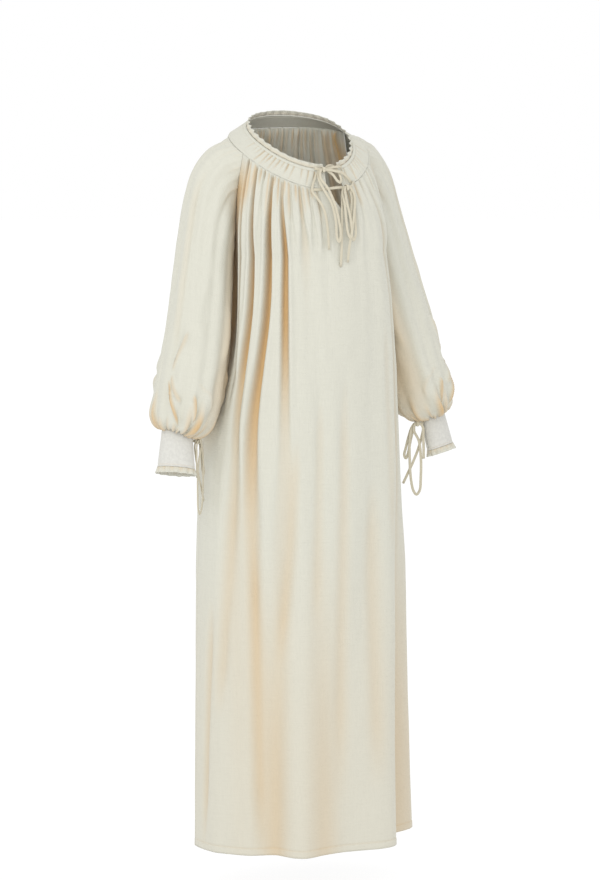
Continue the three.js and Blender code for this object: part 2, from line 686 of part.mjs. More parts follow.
// Each tape: enter is the side on which it comes to the knot, then its lead, loop and
// tail as points across, up and out from the cloth, measured from the knot
const neckUpperA = {
  enter: -1,
  layers: [0, 1],
  lead: [{ s: -13, z: 2.5, out: 3 }],
  loop: [{ s: 13, z: 6 }, { s: 24, z: 5 }, { s: 33, z: -5 }, { s: 36, z: -17 }, { s: 32, z: -24 },
    { s: 26, z: -20 }, { s: 19, z: -9 }],
  tail: [{ s: -17, z: -14, out: 7.2 }, { s: -26, z: -29, out: 7 }, { s: -28, z: -38, out: 6.5 },
    { s: -21, z: -49, out: 5 }, { s: -12, z: -70, out: 4.6 }, { s: -10, z: -103, out: 4.6 },
    { s: -9, z: -142, out: 4.6 }],
};
const neckUpperB = {
  enter: 1,
  layers: [2, 3],
  lead: [{ s: 46, z: 1, out: 3 }, { s: 41, z: 3, out: 7.6 }, { s: 32, z: 4, out: 10.4 }, { s: 18, z: 3, out: 10.6 }],
  loop: [{ s: -12, z: -12 }, { s: -7, z: -35 }, { s: 3, z: -60 }, { s: 5, z: -93 }, { s: 4, z: -119 },
    { s: 8, z: -128 }, { s: 12, z: -116 }, { s: 11, z: -92 }, { s: 8, z: -62 }, { s: 1, z: -33 },
    { s: -9, z: -13 }],
  tail: [{ s: 14, z: -1, out: 12.6 }, { s: 28, z: -4, out: 12 }, { s: 41, z: -8, out: 10.8 },
    { s: 52, z: -17, out: 7 }, { s: 60, z: -26, out: 4.6 }],
};
const neckLowerA = {
  enter: -1,
  layers: [0, 1],
  lead: [{ s: -71, z: -2, out: 3.2 }, { s: -58, z: -2, out: 3.4 }, { s: -38, z: -1, out: 4 },
    { s: -20, z: 0, out: 4.6 }],
  loop: [{ s: 11, z: -9 }, { s: 12, z: -22 }, { s: 9, z: -40 }, { s: 6, z: -62 }, { s: 4, z: -84 },
    { s: -1, z: -94 }, { s: -5, z: -84 }, { s: -4, z: -60 }, { s: 1, z: -38 }, { s: 7, z: -18 }],
  tail: [{ s: -11, z: -10, out: 7.2 }, { s: -17, z: -30, out: 7 }, { s: -23, z: -63, out: 6 },
    { s: -26, z: -100, out: 5.5 }, { s: -27.5, z: -141, out: 5 }],
};
const neckLowerB = {
  enter: 1,
  layers: [2, 3],
  lead: [{ s: 24, z: 8, out: 3.4 }, { s: 17, z: 7, out: 8.8 }, { s: 10.5, z: 3, out: 10.8 }],
  loop: [{ s: -11, z: -9 }, { s: -14, z: -28 }, { s: -16, z: -60 }, { s: -15, z: -80 }, { s: -11, z: -89 },
    { s: -7, z: -80 }, { s: -7, z: -48 }, { s: -9, z: -20 }],
  tail: [{ s: 11, z: -8, out: 12.6 }, { s: 11, z: -20, out: 12.2 }, { s: 4, z: -44, out: 11.6 },
    { s: -5, z: -74, out: 11 }, { s: -12, z: -104, out: 9 }, { s: -13.5, z: -134, out: 6.5 }],
};
const cuffA = {
  enter: 1,
  layers: [0, 1],
  lead: [{ s: 10.7, z: 1, out: 4.2 }],
  loop: [{ s: -11, z: -8 }, { s: -16, z: -22 }, { s: -22, z: -46 }, { s: -25, z: -60 }, { s: -22, z: -66 },
    { s: -18, z: -57 }, { s: -14, z: -36 }, { s: -9, z: -13 }],
  tail: [{ s: 10, z: -8, out: 8.2 }, { s: 8, z: -22, out: 8.2 }, { s: 1, z: -48, out: 8 },
    { s: -9, z: -74, out: 7 }, { s: -18, z: -94, out: 6 }, { s: -27, z: -114, out: 5 }],
};
const cuffB = {
  enter: 1,
  layers: [2, 3],
  lead: [{ s: 9.5, z: 3, out: 9.6 }],
  loop: [{ s: -11, z: -9 }, { s: -15, z: -30 }, { s: -15, z: -65 }, { s: -13, z: -100 }, { s: -8, z: -126 },
    { s: -2, z: -134 }, { s: 4, z: -126 }, { s: 6, z: -102 }, { s: 6, z: -64 }, { s: 2, z: -32 },
    { s: -7, z: -13 }],
  tail: [{ s: 10, z: -8, out: 12.6 }, { s: 10, z: -20, out: 12.6 }, { s: 11, z: -40, out: 12.8 },
    { s: 11, z: -66, out: 13 }],
};

// Route of one tape through its knot
function tieRoute(tie) {
  const [first, second] = tie.layers.map((k) => layerOff[k]);
  const e = tie.enter;
  const loopSide = Math.sign(-e);
  const reach = knotHalfLength + 1.6;
  const points = [...tie.lead];
  points.push({ s: e * reach, z: 0, out: first }, { s: -e * reach, z: 0, out: first });
  tie.loop.forEach((p, k) => {
    points.push({ ...p, out: lerp(first, second, (k + 0.5) / tie.loop.length) });
  });
  points.push({ s: loopSide * reach, z: 0, out: second }, { s: -loopSide * reach, z: 0, out: second });
  return points.concat(tie.tail);
}

function neckPlace(knot, p) {
  const x = knot.x + p.s;
  const z = knot.z + p.z;
  const away = ease((Math.hypot(p.s, p.z) - 6) / 14);
  return new THREE.Vector3(x, lerp(frontDepth(knot.x, knot.z), frontDepth(x, z), away) - p.out, z);
}

function cuffPlace(sign, p) {
  const { x: ax, y: ay } = cuffTieAcross;
  const out = p.out - knotMiddle;
  return new THREE.Vector3(
    sign * (cuffKnot.x + ax * p.s + ay * out),
    cuffKnot.y + ay * p.s - ax * out,
    cuffKnot.z + p.z,
  );
}

// A flat tape drawn along its route, its face kept towards the given side
function tape(points, face) {
  const route = new THREE.CatmullRomCurve3(points, false, 'centripetal');
  route.getPointAt = route.getPoint;
  route.getTangentAt = route.getTangent;
  route.computeFrenetFrames = (steps) => {
    const frames = { tangents: [], normals: [], binormals: [] };
    for (let k = 0; k <= steps; k += 1) {
      const along = route.getTangent(k / steps);
      const normal = face.clone().projectOnPlane(along).normalize();
      frames.tangents.push(along);
      frames.normals.push(normal);
      frames.binormals.push(new THREE.Vector3().crossVectors(along, normal));
    }
    return frames;
  };
  const w = tapeWidth / 2;
  const t = tapeThickness / 2;
  const section = new THREE.Shape([
    [-t, -w + 0.8], [-t * 0.4, -w], [t * 0.4, -w], [t, -w + 0.8],
    [t, w - 0.8], [t * 0.4, w], [-t * 0.4, w], [-t, w - 0.8],
  ].map(([x, y]) => new THREE.Vector2(x, y)));
  return new THREE.ExtrudeGeometry(section, { steps: points.length - 1, extrudePath: route });
}

// The knot, a short wrap round the tapes
function knotGeometry(length) {
  const outline = (z, n) => {
    const out = [];
    for (let k = 0; k < 10; k += 1) {
      const a = (k + 0.5) / 10 * 2 * Math.PI;
      const r = Math.pow(Math.abs(Math.cos(a)) ** 4 + Math.abs(Math.sin(a)) ** 4, -0.25);
      out.push(new THREE.Vector2(n * Math.cos(a) * r, z * Math.sin(a) * r));
    }
    return out;
  };
  const shape = new THREE.Shape(outline(5.6, 6.7));
  shape.holes.push(new THREE.Path(outline(3.5, 4.7)));
  return new THREE.ExtrudeGeometry(shape, { depth: length, steps: 1, bevelEnabled: false });
}

function placeKnot(name, centre, along, out) {
  const up = new THREE.Vector3().crossVectors(along, out).normalize();
  const geometry = knotGeometry(2 * knotHalfLength);
  geometry.translate(0, 0, -knotHalfLength);
  const frame = new THREE.Matrix4().makeBasis(out, up.clone(), along.clone());
  const handed = frame.determinant() < 0;
  if (handed) frame.makeBasis(out, up.negate(), along);
  geometry.applyMatrix4(frame);
  const mesh = addPart(name, geometry, linen, 0.9);
  mesh.position.copy(centre);
}

const neckTies = [
  ['tie_neck_upper', neckUpperKnot, neckUpperA, neckUpperB],
  ['tie_neck_lower', neckLowerKnot, neckLowerA, neckLowerB],
];
for (const [name, knot, a, b] of neckTies) {
  const front = new THREE.Vector3(0, -1, 0);
  addPart(`${name}_a`, tape(tieRoute(a).map((p) => neckPlace(knot, p)), front), linen, 0.9);
  addPart(`${name}_b`, tape(tieRoute(b).map((p) => neckPlace(knot, p)), front), linen, 0.9);
  const centre = neckPlace(knot, { s: 0, z: 0, out: knotMiddle });
  placeKnot(`${name}_knot`, centre, new THREE.Vector3(1, 0, 0), new THREE.Vector3(0, -1, 0));
}
for (const [side, sign] of [['left', 1], ['right', -1]]) {
  const face = new THREE.Vector3(sign * cuffTieAcross.y, -cuffTieAcross.x, 0).normalize();
  addPart(`tie_cuff_${side}_a`, tape(tieRoute(cuffA).map((p) => cuffPlace(sign, p)), face), linen, 0.9);
  addPart(`tie_cuff_${side}_b`, tape(tieRoute(cuffB).map((p) => cuffPlace(sign, p)), face), linen, 0.9);
  const centre = cuffPlace(sign, { s: 0, z: 0, out: knotMiddle });
  const along = new THREE.Vector3(sign * cuffTieAcross.x, cuffTieAcross.y, 0).normalize();
  placeKnot(`tie_cuff_${side}_knot`, centre, along, face);
}

const dress = new THREE.Group();
dress.name = 'gathered_chemise_dress';
for (const mesh of parts) dress.add(mesh);

export default dress;
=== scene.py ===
"""Gathered linen chemise dress with a drawstring neck band, full sleeves and frilled cuffs."""

import math
from collections import namedtuple

import bpy
import numpy as np
from bpy.props import FloatProperty, FloatVectorProperty, PointerProperty
from bpy.types import Operator, Panel, PropertyGroup
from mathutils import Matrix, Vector


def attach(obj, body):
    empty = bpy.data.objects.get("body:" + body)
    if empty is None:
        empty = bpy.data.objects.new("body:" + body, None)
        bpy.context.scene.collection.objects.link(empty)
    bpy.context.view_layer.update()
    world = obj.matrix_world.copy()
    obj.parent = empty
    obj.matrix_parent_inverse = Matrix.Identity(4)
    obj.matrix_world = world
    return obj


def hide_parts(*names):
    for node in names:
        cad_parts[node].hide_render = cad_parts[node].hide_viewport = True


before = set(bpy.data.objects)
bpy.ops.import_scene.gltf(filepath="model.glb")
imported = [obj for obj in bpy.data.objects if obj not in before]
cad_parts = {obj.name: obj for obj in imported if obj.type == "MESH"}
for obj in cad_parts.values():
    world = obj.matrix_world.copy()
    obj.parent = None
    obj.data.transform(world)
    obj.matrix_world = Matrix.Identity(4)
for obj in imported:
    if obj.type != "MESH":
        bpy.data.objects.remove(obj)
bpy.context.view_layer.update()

bl_info = {
    "name": "Gathered chemise dress",
    "version": (1, 0, 0),
    "blender": (4, 5, 0),
    "location": "3D View > Sidebar > Chemise",
    "description": "Builds a gathered linen chemise dress piece by piece",
    "category": "Add Mesh",
}

MM = 0.001

# All sizes are in millimetres and all angles in degrees, unless a line says otherwise
SEAM_GAP = 0.32
DOUBLE_THICKNESS = 1.8
FRILL_THICKNESS = 0.7

# Neck line along the upper drawstring, and the seam under the band
NECK_LINE = dict(half_width=98, half_depth=95.5, centre_y=-13.5, height=-13.5, tilt=-43.5, shoulder=12)
BAND_SEAM = dict(half_width=133, half_depth=115, centre_y=-10, height=-44, tilt=-49, shoulder=26)

# Slit at the front: its middle and half width at the neck line, then down shares of the yoke
SLIT_CENTRE_TOP = 10
SLIT_HALF_TOP = 14
SLIT_SHARES = (0, 0.035, 0.07, 0.12, 0.17, 0.25, 0.32)
SLIT_CENTRES = (10, 11, 12, 13, 14, 15.2, 16)
SLIT_HALVES = (18, 16.8, 14.8, 12.2, 9, 4.6, 0.9)
SLIT_LINE = 4.0

# Angles of the seams, heights of the stations, and radii that turn an angle into a length
RAGLAN_FRONT, RAGLAN_BACK, SIDE_SEAM = 78, 113, 97
UNDERARM, BUST, HIP, HEM = -212, -258, -560, -1308
YOKE_LENGTH = 168
SEAM_RADIUS, BODY_RADIUS, ARM_RADIUS = 140, 150, 60
BODY_MIDDLE = -12.0
CHEST_HALF_WIDTH = 155

# Grid of the panels: rows, the hem's rows as heights above it, columns, and the columns before the slit
YOKE_ROWS, SKIRT_ROWS = 44, 88
HEM_TOP, HEM_STITCH = 21, 13.2
HEM_ROWS = (17, 14.5, 13.2, 12, 10.8, 9, 4.5, 0)
FRONT_COLUMNS, BACK_COLUMNS = 352, 300
SLIT_COLUMN = 220

# Sections of the skirt and chest
BODY_NAMES = ("z", "width", "depth", "centre_x", "centre_y", "square", "side", "side_y", "span")
BODY = (
    (-150, 146, 137, 0, -5, 2.5, 133, 14, 78),
    (-212, 155, 146, 0, -6, 2.5, 128, 10, 80),
    (-305, 168, 152, 0, -12, 2.4, 131, 0, 84),
    (-400, 178, 156, -1, -14, 2.3, 152, -16, 84),
    (-490, 186, 159, -3, -15, 2.2, 175, -28, 80),
    (-560, 191, 161, -3, -16, 2.15, 191, -28, 80),
    (-786, 205, 165, -3, -19, 2.0, 205, -28, 80),
    (-1040, 212, 168, -3, -23, 2.0, 212, -28, 80),
    (-1308, 218, 170, -3, -29, 2.0, 218, -28, 80),
)

# Large gathers: angle at the band, bust, hip and hem, depth at the same places, and width
Gather = namedtuple("Gather", "band bust hip hem top mid low end width")
FRONT_GATHERS = (
    (-71, -70, -69, -66, 5, 9, 3, 1, 7),
    (-62, -59, -65, -58, 7, 15, 8, 5, 8),
    (-55, -53.5, -57, -50, 3, 2, 1, 0, 5),
    (-48, -47.5, -54, -43, 8, 17, 13, 7, 9),
    (-40, -36.5, -34, -38, 6, 13, 6, 13, 8),
    (-33, -31, -28, -31, 3, 3, 2, 4, 5),
    (-26, -23, -20, -22, 4, 6, 2, -20, 8),
    (-18, -16, -14, -13, 3, 4, 3, 12, 6),
    (-11, -9, -7, -6, 3, 3, 1, 2, 6),
    (18, 15, 11, 9, 3, 2, 1, 3, 6),
    (25, 24, 21, 19, 3, 2, 2, 2, 7),
    (33, 35, 34, 29, 3, -4, -6, -14, 9),
    (41, 48, 50, 46, 4, 7, 12, 34, 14),
    (52, 61, 65, 62, 4, 3, 3, 14, 12),
    (65, 73, 77, 76, 4, 3, -2, -6, 9),
)
BACK_GATHERS = (
    (120, 107, 106, 106, 4, 4, 3, 8, 9),
    (131, 121, 121, 122, 5, 10, 10, 18, 11),
    (143, 136, 137, 139, 4, 7, 5, 6, 9),
    (155, 151, 152, 153, 5, 12, 12, 22, 11),
    (167, 165, 166, 168, 4, 6, 4, 5, 8),
    (179, 180, 181, 182, 5, 11, 10, 19, 11),
    (191, 194, 195, 195, 4, 6, 5, 6, 8),
    (203, 209, 209, 208, 5, 12, 11, 21, 11),
    (216, 224, 223, 222, 4, 7, 5, 5, 9),
    (228, 238, 238, 237, 5, 9, 9, 17, 11),
    (239, 253, 254, 254, 4, 4, 3, 7, 9),
)

# Fine gathers: seed, first and last angle, step and longest length
FRONT_FINE = ((3, -76, -9, 4.3, 130), (4, 16, 76, 7.0, 84))
BACK_FINE = ((5, 116, 244, 3.6, 130),)

# Sleeve rings, wearer's left, from an outer to an inner point, and the rows from each ring to the next
SLEEVE_NAMES = ("outer_x", "outer_z", "inner_x", "inner_z", "centre_y", "inner_y", "depth", "blend", "fold")
SLEEVE = (
    (163, -13, 131.5, -214, 22, 12, 50, 0.34, 0.5),
    (190, -32, 132, -217, 26, 12, 53, 0.68, 0.9),
    (206, -68, 133, -222, 25, 12, 55, 0.92, 1),
    (217, -115, 134, -230, 23, 12, 56, 1, 1),
    (231, -172, 135.5, -246, 16, 10, 57, 1, 0.9),
    (245, -234, 137.5, -276, 8, 6, 59, 1, 0.8),
    (262, -300, 144, -326, -3, -3, 61, 1, 0.8),
    (278, -360, 155, -382, -13, -13, 64, 1, 0.9),
    (293, -415, 169, -440, -20, -20, 65, 1, 1),
    (305, -458, 183, -488, -27, -27, 64, 1, 1),
    (311, -488, 199, -520, -31, -31, 58, 1, 1.2),
    (308, -507, 218, -535, -35, -35, 47, 1, 1.5),
    (300, -516, 238, -537, -38, -38, 32, 1, 1.3),
)
SLEEVE_STEPS = (8, 8, 8, 8, 10, 10, 10, 10, 10, 10, 9, 9, 9, 9)

# Points of the raglan seams, and angles of the band that meet angles round the arm
RAGLAN_POINTS = 104
RAGLAN_SHARES = (0, 0.07, 0.17, 0.245, 0.32, 0.41, 0.5, 0.62, 0.74, 0.87, 1)
CAP_FRONT = (-95.75, -93.5, -89, -84.5, -80.5, -78)
CAP_BACK = (95.75, 98, 102.5, 106.5, 110, 113)
CAP_ANGLES = (0.5, 5, 13, 21, 29, 31)

# Long folds of a sleeve: angle, depth at the shoulder, elbow and cuff, width in degrees
SLEEVE_FOLDS = (
    (0, 3, 2, 4, 9),
    (28, 6, 5, 3, 9),
    (55, 4, 2, 5, 8),
    (82, 5, 4, 4, 8),
    (112, 2, 3, 5, 9),
    (146, 0, 2, 4, 9),
    (180, 0, 0, 4, 9),
    (214, 0, 2, 4, 9),
    (248, 2, 4, 5, 9),
    (278, 5, 3, 4, 8),
    (305, 4, 4, 5, 8),
    (332, 6, 3, 3, 9),
)

# Cuff sections, the cuff's turn round its axis and its slit, the waves of the frills, the band's columns
CUFF_TOP = dict(x=271, y=-39, z=-528, wide=27.5, narrow=18, slope=0.24)
CUFF_BOTTOM = dict(x=281, y=-53, z=-592, wide=34, narrow=20.5, slope=0.05)
CUFF_TURN = 28
CUFF_SLIT, CUFF_SLIT_GAP = 168, 3.2
CUFF_WAVES, NECK_WAVES = 13, 34
BAND_COLUMNS = 1100

# Tapes and knots: distance of the tape's layers and of the knot's middle from the cloth
TAPE_WIDTH, TAPE_THICKNESS = 5, 1.2
LAYER_OFF = (6, 8.2, 10.4, 12.6)
KNOT_MIDDLE, KNOT_HALF = 9.3, 3
NECK_UPPER_KNOT = (-12, -57)
NECK_LOWER_KNOT = (31, -90)
CUFF_KNOT = (234, -50, -546)
CUFF_ACROSS = (0.866, -0.5)

# Routes of the tapes as points across, up and out from the knot
TIES = {
    "neck_upper_a": dict(
        enter=-1, layers=(0, 1), lead=((-13, 2.5, 3),),
        loop=((13, 6), (24, 5), (33, -5), (36, -17), (32, -24), (26, -20), (19, -9)),
        tail=((-17, -14, 7.2), (-26, -29, 7), (-28, -38, 6.5), (-21, -49, 5), (-12, -70, 4.6),
              (-10, -103, 4.6), (-9, -142, 4.6)),
    ),
    "neck_upper_b": dict(
        enter=1, layers=(2, 3), lead=((46, 1, 3), (41, 3, 7.6), (32, 4, 10.4), (18, 3, 10.6)),
        loop=((-12, -12), (-7, -35), (3, -60), (5, -93), (4, -119), (8, -128), (12, -116), (11, -92),
              (8, -62), (1, -33), (-9, -13)),
        tail=((14, -1, 12.6), (28, -4, 12), (41, -8, 10.8), (52, -17, 7), (60, -26, 4.6)),
    ),
    "neck_lower_a": dict(
        enter=-1, layers=(0, 1), lead=((-71, -2, 3.2), (-58, -2, 3.4), (-38, -1, 4), (-20, 0, 4.6)),
        loop=((11, -9), (12, -22), (9, -40), (6, -62), (4, -84), (-1, -94), (-5, -84), (-4, -60), (1, -38),
              (7, -18)),
        tail=((-11, -10, 7.2), (-17, -30, 7), (-23, -63, 6), (-26, -100, 5.5), (-27.5, -141, 5)),
    ),
    "neck_lower_b": dict(
        enter=1, layers=(2, 3), lead=((24, 8, 3.4), (17, 7, 8.8), (10.5, 3, 10.8)),
        loop=((-11, -9), (-14, -28), (-16, -60), (-15, -80), (-11, -89), (-7, -80), (-7, -48), (-9, -20)),
        tail=((11, -8, 12.6), (11, -20, 12.2), (4, -44, 11.6), (-5, -74, 11), (-12, -104, 9),
              (-13.5, -134, 6.5)),
    ),
    "cuff_a": dict(
        enter=1, layers=(0, 1), lead=((10.7, 1, 4.2),),
        loop=((-11, -8), (-16, -22), (-22, -46), (-25, -60), (-22, -66), (-18, -57), (-14, -36), (-9, -13)),
        tail=((10, -8, 8.2), (8, -22, 8.2), (1, -48, 8), (-9, -74, 7), (-18, -94, 6), (-27, -114, 5)),
    ),
    "cuff_b": dict(
        enter=1, layers=(2, 3), lead=((9.5, 3, 9.6),),
        loop=((-11, -9), (-15, -30), (-15, -65), (-13, -100), (-8, -126), (-2, -134), (4, -126), (6, -102),
              (6, -64), (2, -32), (-7, -13)),
        tail=((10, -8, 12.6), (10, -20, 12.6), (11, -40, 12.8), (11, -66, 13)),
    ),
}

# Camera: angles round and up, the point that it looks at in metres, the picture's height at the dress,
# and how far the floor lies below the hem
CAMERA_ANGLES = (-30, 8)
CAMERA_TARGET = (0.0, -0.015, -0.565)
PICTURE_HEIGHT = 1628
FLOOR_DROP = 90


def linear(code):
    """Linear colour of an sRGB hex value."""
    parts = [int(code[k:k + 2], 16) / 255 for k in (0, 2, 4)]
    return tuple(c / 12.92 if c <= 0.04045 else ((c + 0.055) / 1.055) ** 2.4 for c in parts)


class ChemiseSizes(PropertyGroup):
    """Sizes of the cloth that a user may change."""

    shell: FloatProperty(
        name="Cloth thickness", description="Thickness of the linen shell", default=0.0009,
        min=0.0003, max=0.003, unit="LENGTH",
    )
    gather: FloatProperty(
        name="Fine gathers", description="Strength of the fine gathers at the seams", default=1.0,
        min=0.0, max=2.0, subtype="FACTOR",
    )
    rumple: FloatProperty(
        name="Rumple", description="Strength of the soft uneven rumples of the cloth", default=1.0,
        min=0.0, max=3.0, subtype="FACTOR",
    )
    camera_distance: FloatProperty(
        name="Camera distance", description="Distance of the camera from the dress", default=8.0, min=2.0,
        unit="LENGTH",
    )


class ChemiseColours(PropertyGroup):
    """Colours of the cloth that a user may change."""

    linen: FloatVectorProperty(
        name="Linen", description="Unbleached off-white linen", subtype="COLOR", size=3,
        default=linear("CDCCC0"),
    )
    # colour of the painted shade deep in the folds: darker than the linen, and warmer, like light reflected
    # between folds
    fold_shade: FloatVectorProperty(
        name="Fold warmth", description="Warm tone deep in the folds", subtype="COLOR", size=3,
        default=linear("CAA56C"),
    )
    # darker than the linen, and a little tan: painted shade of the tapes
    tape: FloatVectorProperty(
        name="Tape", description="Stitched linen tape of the ties", subtype="COLOR", size=3,
        default=linear("CBC4B0"),
    )
    cuff: FloatVectorProperty(
        name="Cuff linen", description="Slightly cooler linen of the cuffs", subtype="COLOR", size=3,
        default=linear("D0CFC9"),
    )
    backdrop: FloatVectorProperty(
        name="Backdrop", description="Plain pale floor and backdrop", subtype="COLOR", size=3,
        default=linear("FFFFFF"),
    )


def lerp(a, b, t):
    """Value between two values."""
    return a + (b - a) * t


def ease(t):
    """Smooth step from 0 to 1."""
    c = np.clip(t, 0, 1)
    return c * c * (3 - 2 * c)


def bell(t, power=2):
    """Bell curve, 1 at 0, with a flatter top for a higher power."""
    return np.exp(-(np.abs(t) ** power))


def unit(v):
    """Vectors with length 1 along the last axis."""
    return v / np.linalg.norm(v, axis=-1, keepdims=True)


def apart(a, b):
    """Degrees between two angles, the short way round."""
    return np.abs((a - b + 180) % 360 - 180)


def sample(table, names, column, z):
    """Smooth value of a table's column at a height, rows go down."""
    k = names.index(column)
    i = 0
    while i < len(table) - 2 and z < table[i + 1][0]:
        i += 1

    def slope(j):
        a, b = table[max(0, j - 1)], table[min(len(table) - 1, j + 1)]
        return (b[k] - a[k]) / (b[0] - a[0])

    p, q = table[i], table[i + 1]
    h = q[0] - p[0]
    t = min(1.0, max(0.0, (z - p[0]) / h))
    return (
        (2 * t**3 - 3 * t**2 + 1) * p[k] + (t**3 - 2 * t**2 + t) * h * slope(i)
        + (-2 * t**3 + 3 * t**2) * q[k] + (t**3 - t**2) * h * slope(i + 1)
    )


def neck_ring(ring, degrees):
    """Points of a neck ring at angles from the front towards the wearer's left."""
    s, c = np.sin(np.radians(degrees)), np.cos(np.radians(degrees))
    x = ring["half_width"] * s
    y = ring["centre_y"] - ring["half_depth"] * c
    return np.stack((x, y, ring["height"] + ring["tilt"] * c + ring["shoulder"] * s * s), -1)


def ring_degrees(ring, x):
    """Angle of a place across, on the front of a neck ring."""
    return math.degrees(math.asin(x / ring["half_width"]))


def body_section(z, degrees):
    """Points of a body section, pressed in softly beside the arm."""
    s, c = np.sin(np.radians(degrees)), np.cos(np.radians(degrees))
    n, a, b = (sample(BODY, BODY_NAMES, name, z) for name in ("square", "width", "depth"))
    r = (np.abs(s) ** n + np.abs(c) ** n) ** (-1 / n)
    x = a * s * r
    y = sample(BODY, BODY_NAMES, "centre_y", z) - b * c * r
    off = (y - sample(BODY, BODY_NAMES, "side_y", z)) / sample(BODY, BODY_NAMES, "span", z)
    press = np.clip(1 - off * off, 0, None) ** 1.6
    most = lerp(a, min(a, sample(BODY, BODY_NAMES, "side", z)), press)
    x = np.clip(x, -most, most)
    return np.stack((x + sample(BODY, BODY_NAMES, "centre_x", z), y, np.full_like(x, z)), -1)


def body_surface(share, z, degrees):
    """Smooth surface of the body: a share from band to underarm, or a height below that."""
    if share is None:
        return body_section(z, degrees)
    s, c = np.sin(np.radians(degrees)), np.cos(np.radians(degrees))
    top, low = neck_ring(BAND_SEAM, degrees), body_section(UNDERARM, degrees)
    out = math.sin(share * math.pi / 2) ** 0.9 if share > 0 else 0.0
    p = lerp(top, low, np.array((out, out, share)))
    bulge = 5 * math.sin(share * math.pi) * (1 - 0.5 * np.abs(c)) * (1 - 0.8 * np.abs(s) ** 6)
    flat = unit(np.stack((p[:, 0], p[:, 1] + 10, np.zeros(len(p))), -1))
    return p + flat * bulge[:, None]


def along_body(share, z, band, bust, hip, hem):
    """Value of a gather between its four stations."""
    if share is not None:
        return lerp(band, bust, ease(share * 0.94) / ease(0.94))
    if z > BUST:
        return bust
    if z > HIP:
        return lerp(bust, hip, ease((BUST - z) / (BUST - HIP)))
    return lerp(hip, hem, ease((HIP - z) / (HIP - HEM)))


def seam_angle(start, share):
    """Angle of a raglan seam on its way to the side seam."""
    if share is None:
        return SIDE_SEAM
    return lerp(start, SIDE_SEAM, ease(share) * 0.6 + share * 0.4)


def body_rows():
    """Rows down the dress as a share of the yoke or a height, denser at the band and the hem."""
    rows = [(t**1.15, None) for t in np.linspace(0, 1, YOKE_ROWS)]
    rows += [(None, z) for z in np.linspace(UNDERARM, HEM + HEM_TOP, SKIRT_ROWS + 1 - len(HEM_ROWS))[1:]]
    return rows + [(None, HEM + up) for up in HEM_ROWS]


def down_of(share, z):
    """Distance below the band in millimetres."""
    return share * YOKE_LENGTH if share is not None else YOKE_LENGTH + UNDERARM - z


def fine_gathers(seed, low, high, step, longest):
    """Uneven fine gathers under a seam: angle, length, depth and width in millimetres."""
    rng = np.random.default_rng(seed)
    out = []
    angle = low
    while angle < high:
        long = lerp(30, longest, rng.random() ** 1.6)
        out.append((angle, long, lerp(2.2, 5.0, rng.random()), lerp(1.5, 2.6, rng.random())))
        angle += step * lerp(0.6, 1.4, rng.random())
    return out


def smooth_noise(seed, u, v, size_u, size_v):
    """Soft value noise between -1 and 1 on two coordinates."""
    rng = np.random.default_rng(seed)
    grid = rng.random((64, 64)) * 2 - 1
    a, b = u / size_u, v / size_v
    i, j = np.floor(a).astype(int), np.floor(b).astype(int)
    s, t = ease(a - i), ease(b - j)
    i0, i1, j0, j1 = i % 64, (i + 1) % 64, j % 64, (j + 1) % 64
    return lerp(lerp(grid[i0, j0], grid[i1, j0], s), lerp(grid[i0, j1], grid[i1, j1], s), t)


def crease_field(u, v, crease, radius):
    """Depth of a crease along its path on the cloth, fading towards its ends."""
    places, width, depth = crease
    path = np.array([(math.radians(angle) * radius, height) for angle, height in places])
    best = np.full(u.shape, 1e9)
    place = np.zeros(u.shape)
    total = np.concatenate(([0], np.cumsum(np.linalg.norm(np.diff(path, axis=0), axis=1))))
    for k in range(len(path) - 1):
        d = path[k + 1] - path[k]
        size = float(d @ d)
        t = np.clip(((u - path[k, 0]) * d[0] + (v - path[k, 1]) * d[1]) / size, 0, 1)
        away = np.hypot(u - path[k, 0] - t * d[0], v - path[k, 1] - t * d[1])
        near = away < best
        best = np.where(near, away, best)
        place = np.where(near, (total[k] + t * math.sqrt(size)) / total[-1], place)
    fade = np.clip(np.minimum(place, 1 - place) * 5, 0, 1)
    return depth * bell(best / width) * fade


def grid_normals(points, closed):
    """Unit normals of a grid of points."""
    if closed:
        across = np.roll(points, -1, 1) - np.roll(points, 1, 1)
    else:
        across = np.gradient(points, axis=1)
    n = np.cross(np.gradient(points, axis=0), across)
    return n / np.maximum(np.linalg.norm(n, axis=2), 1e-9)[..., None]


def run_down(points):
    """Distance of each row of a grid from its first row, along the cloth."""
    steps = np.median(np.linalg.norm(np.diff(points, axis=0), axis=2), axis=1)
    return np.concatenate(([0], np.cumsum(steps)))


def link_object(name, data):
    """Puts new data into the scene as an object."""
    obj = bpy.data.objects.new(name, data)
    bpy.context.scene.collection.objects.link(obj)
    return obj


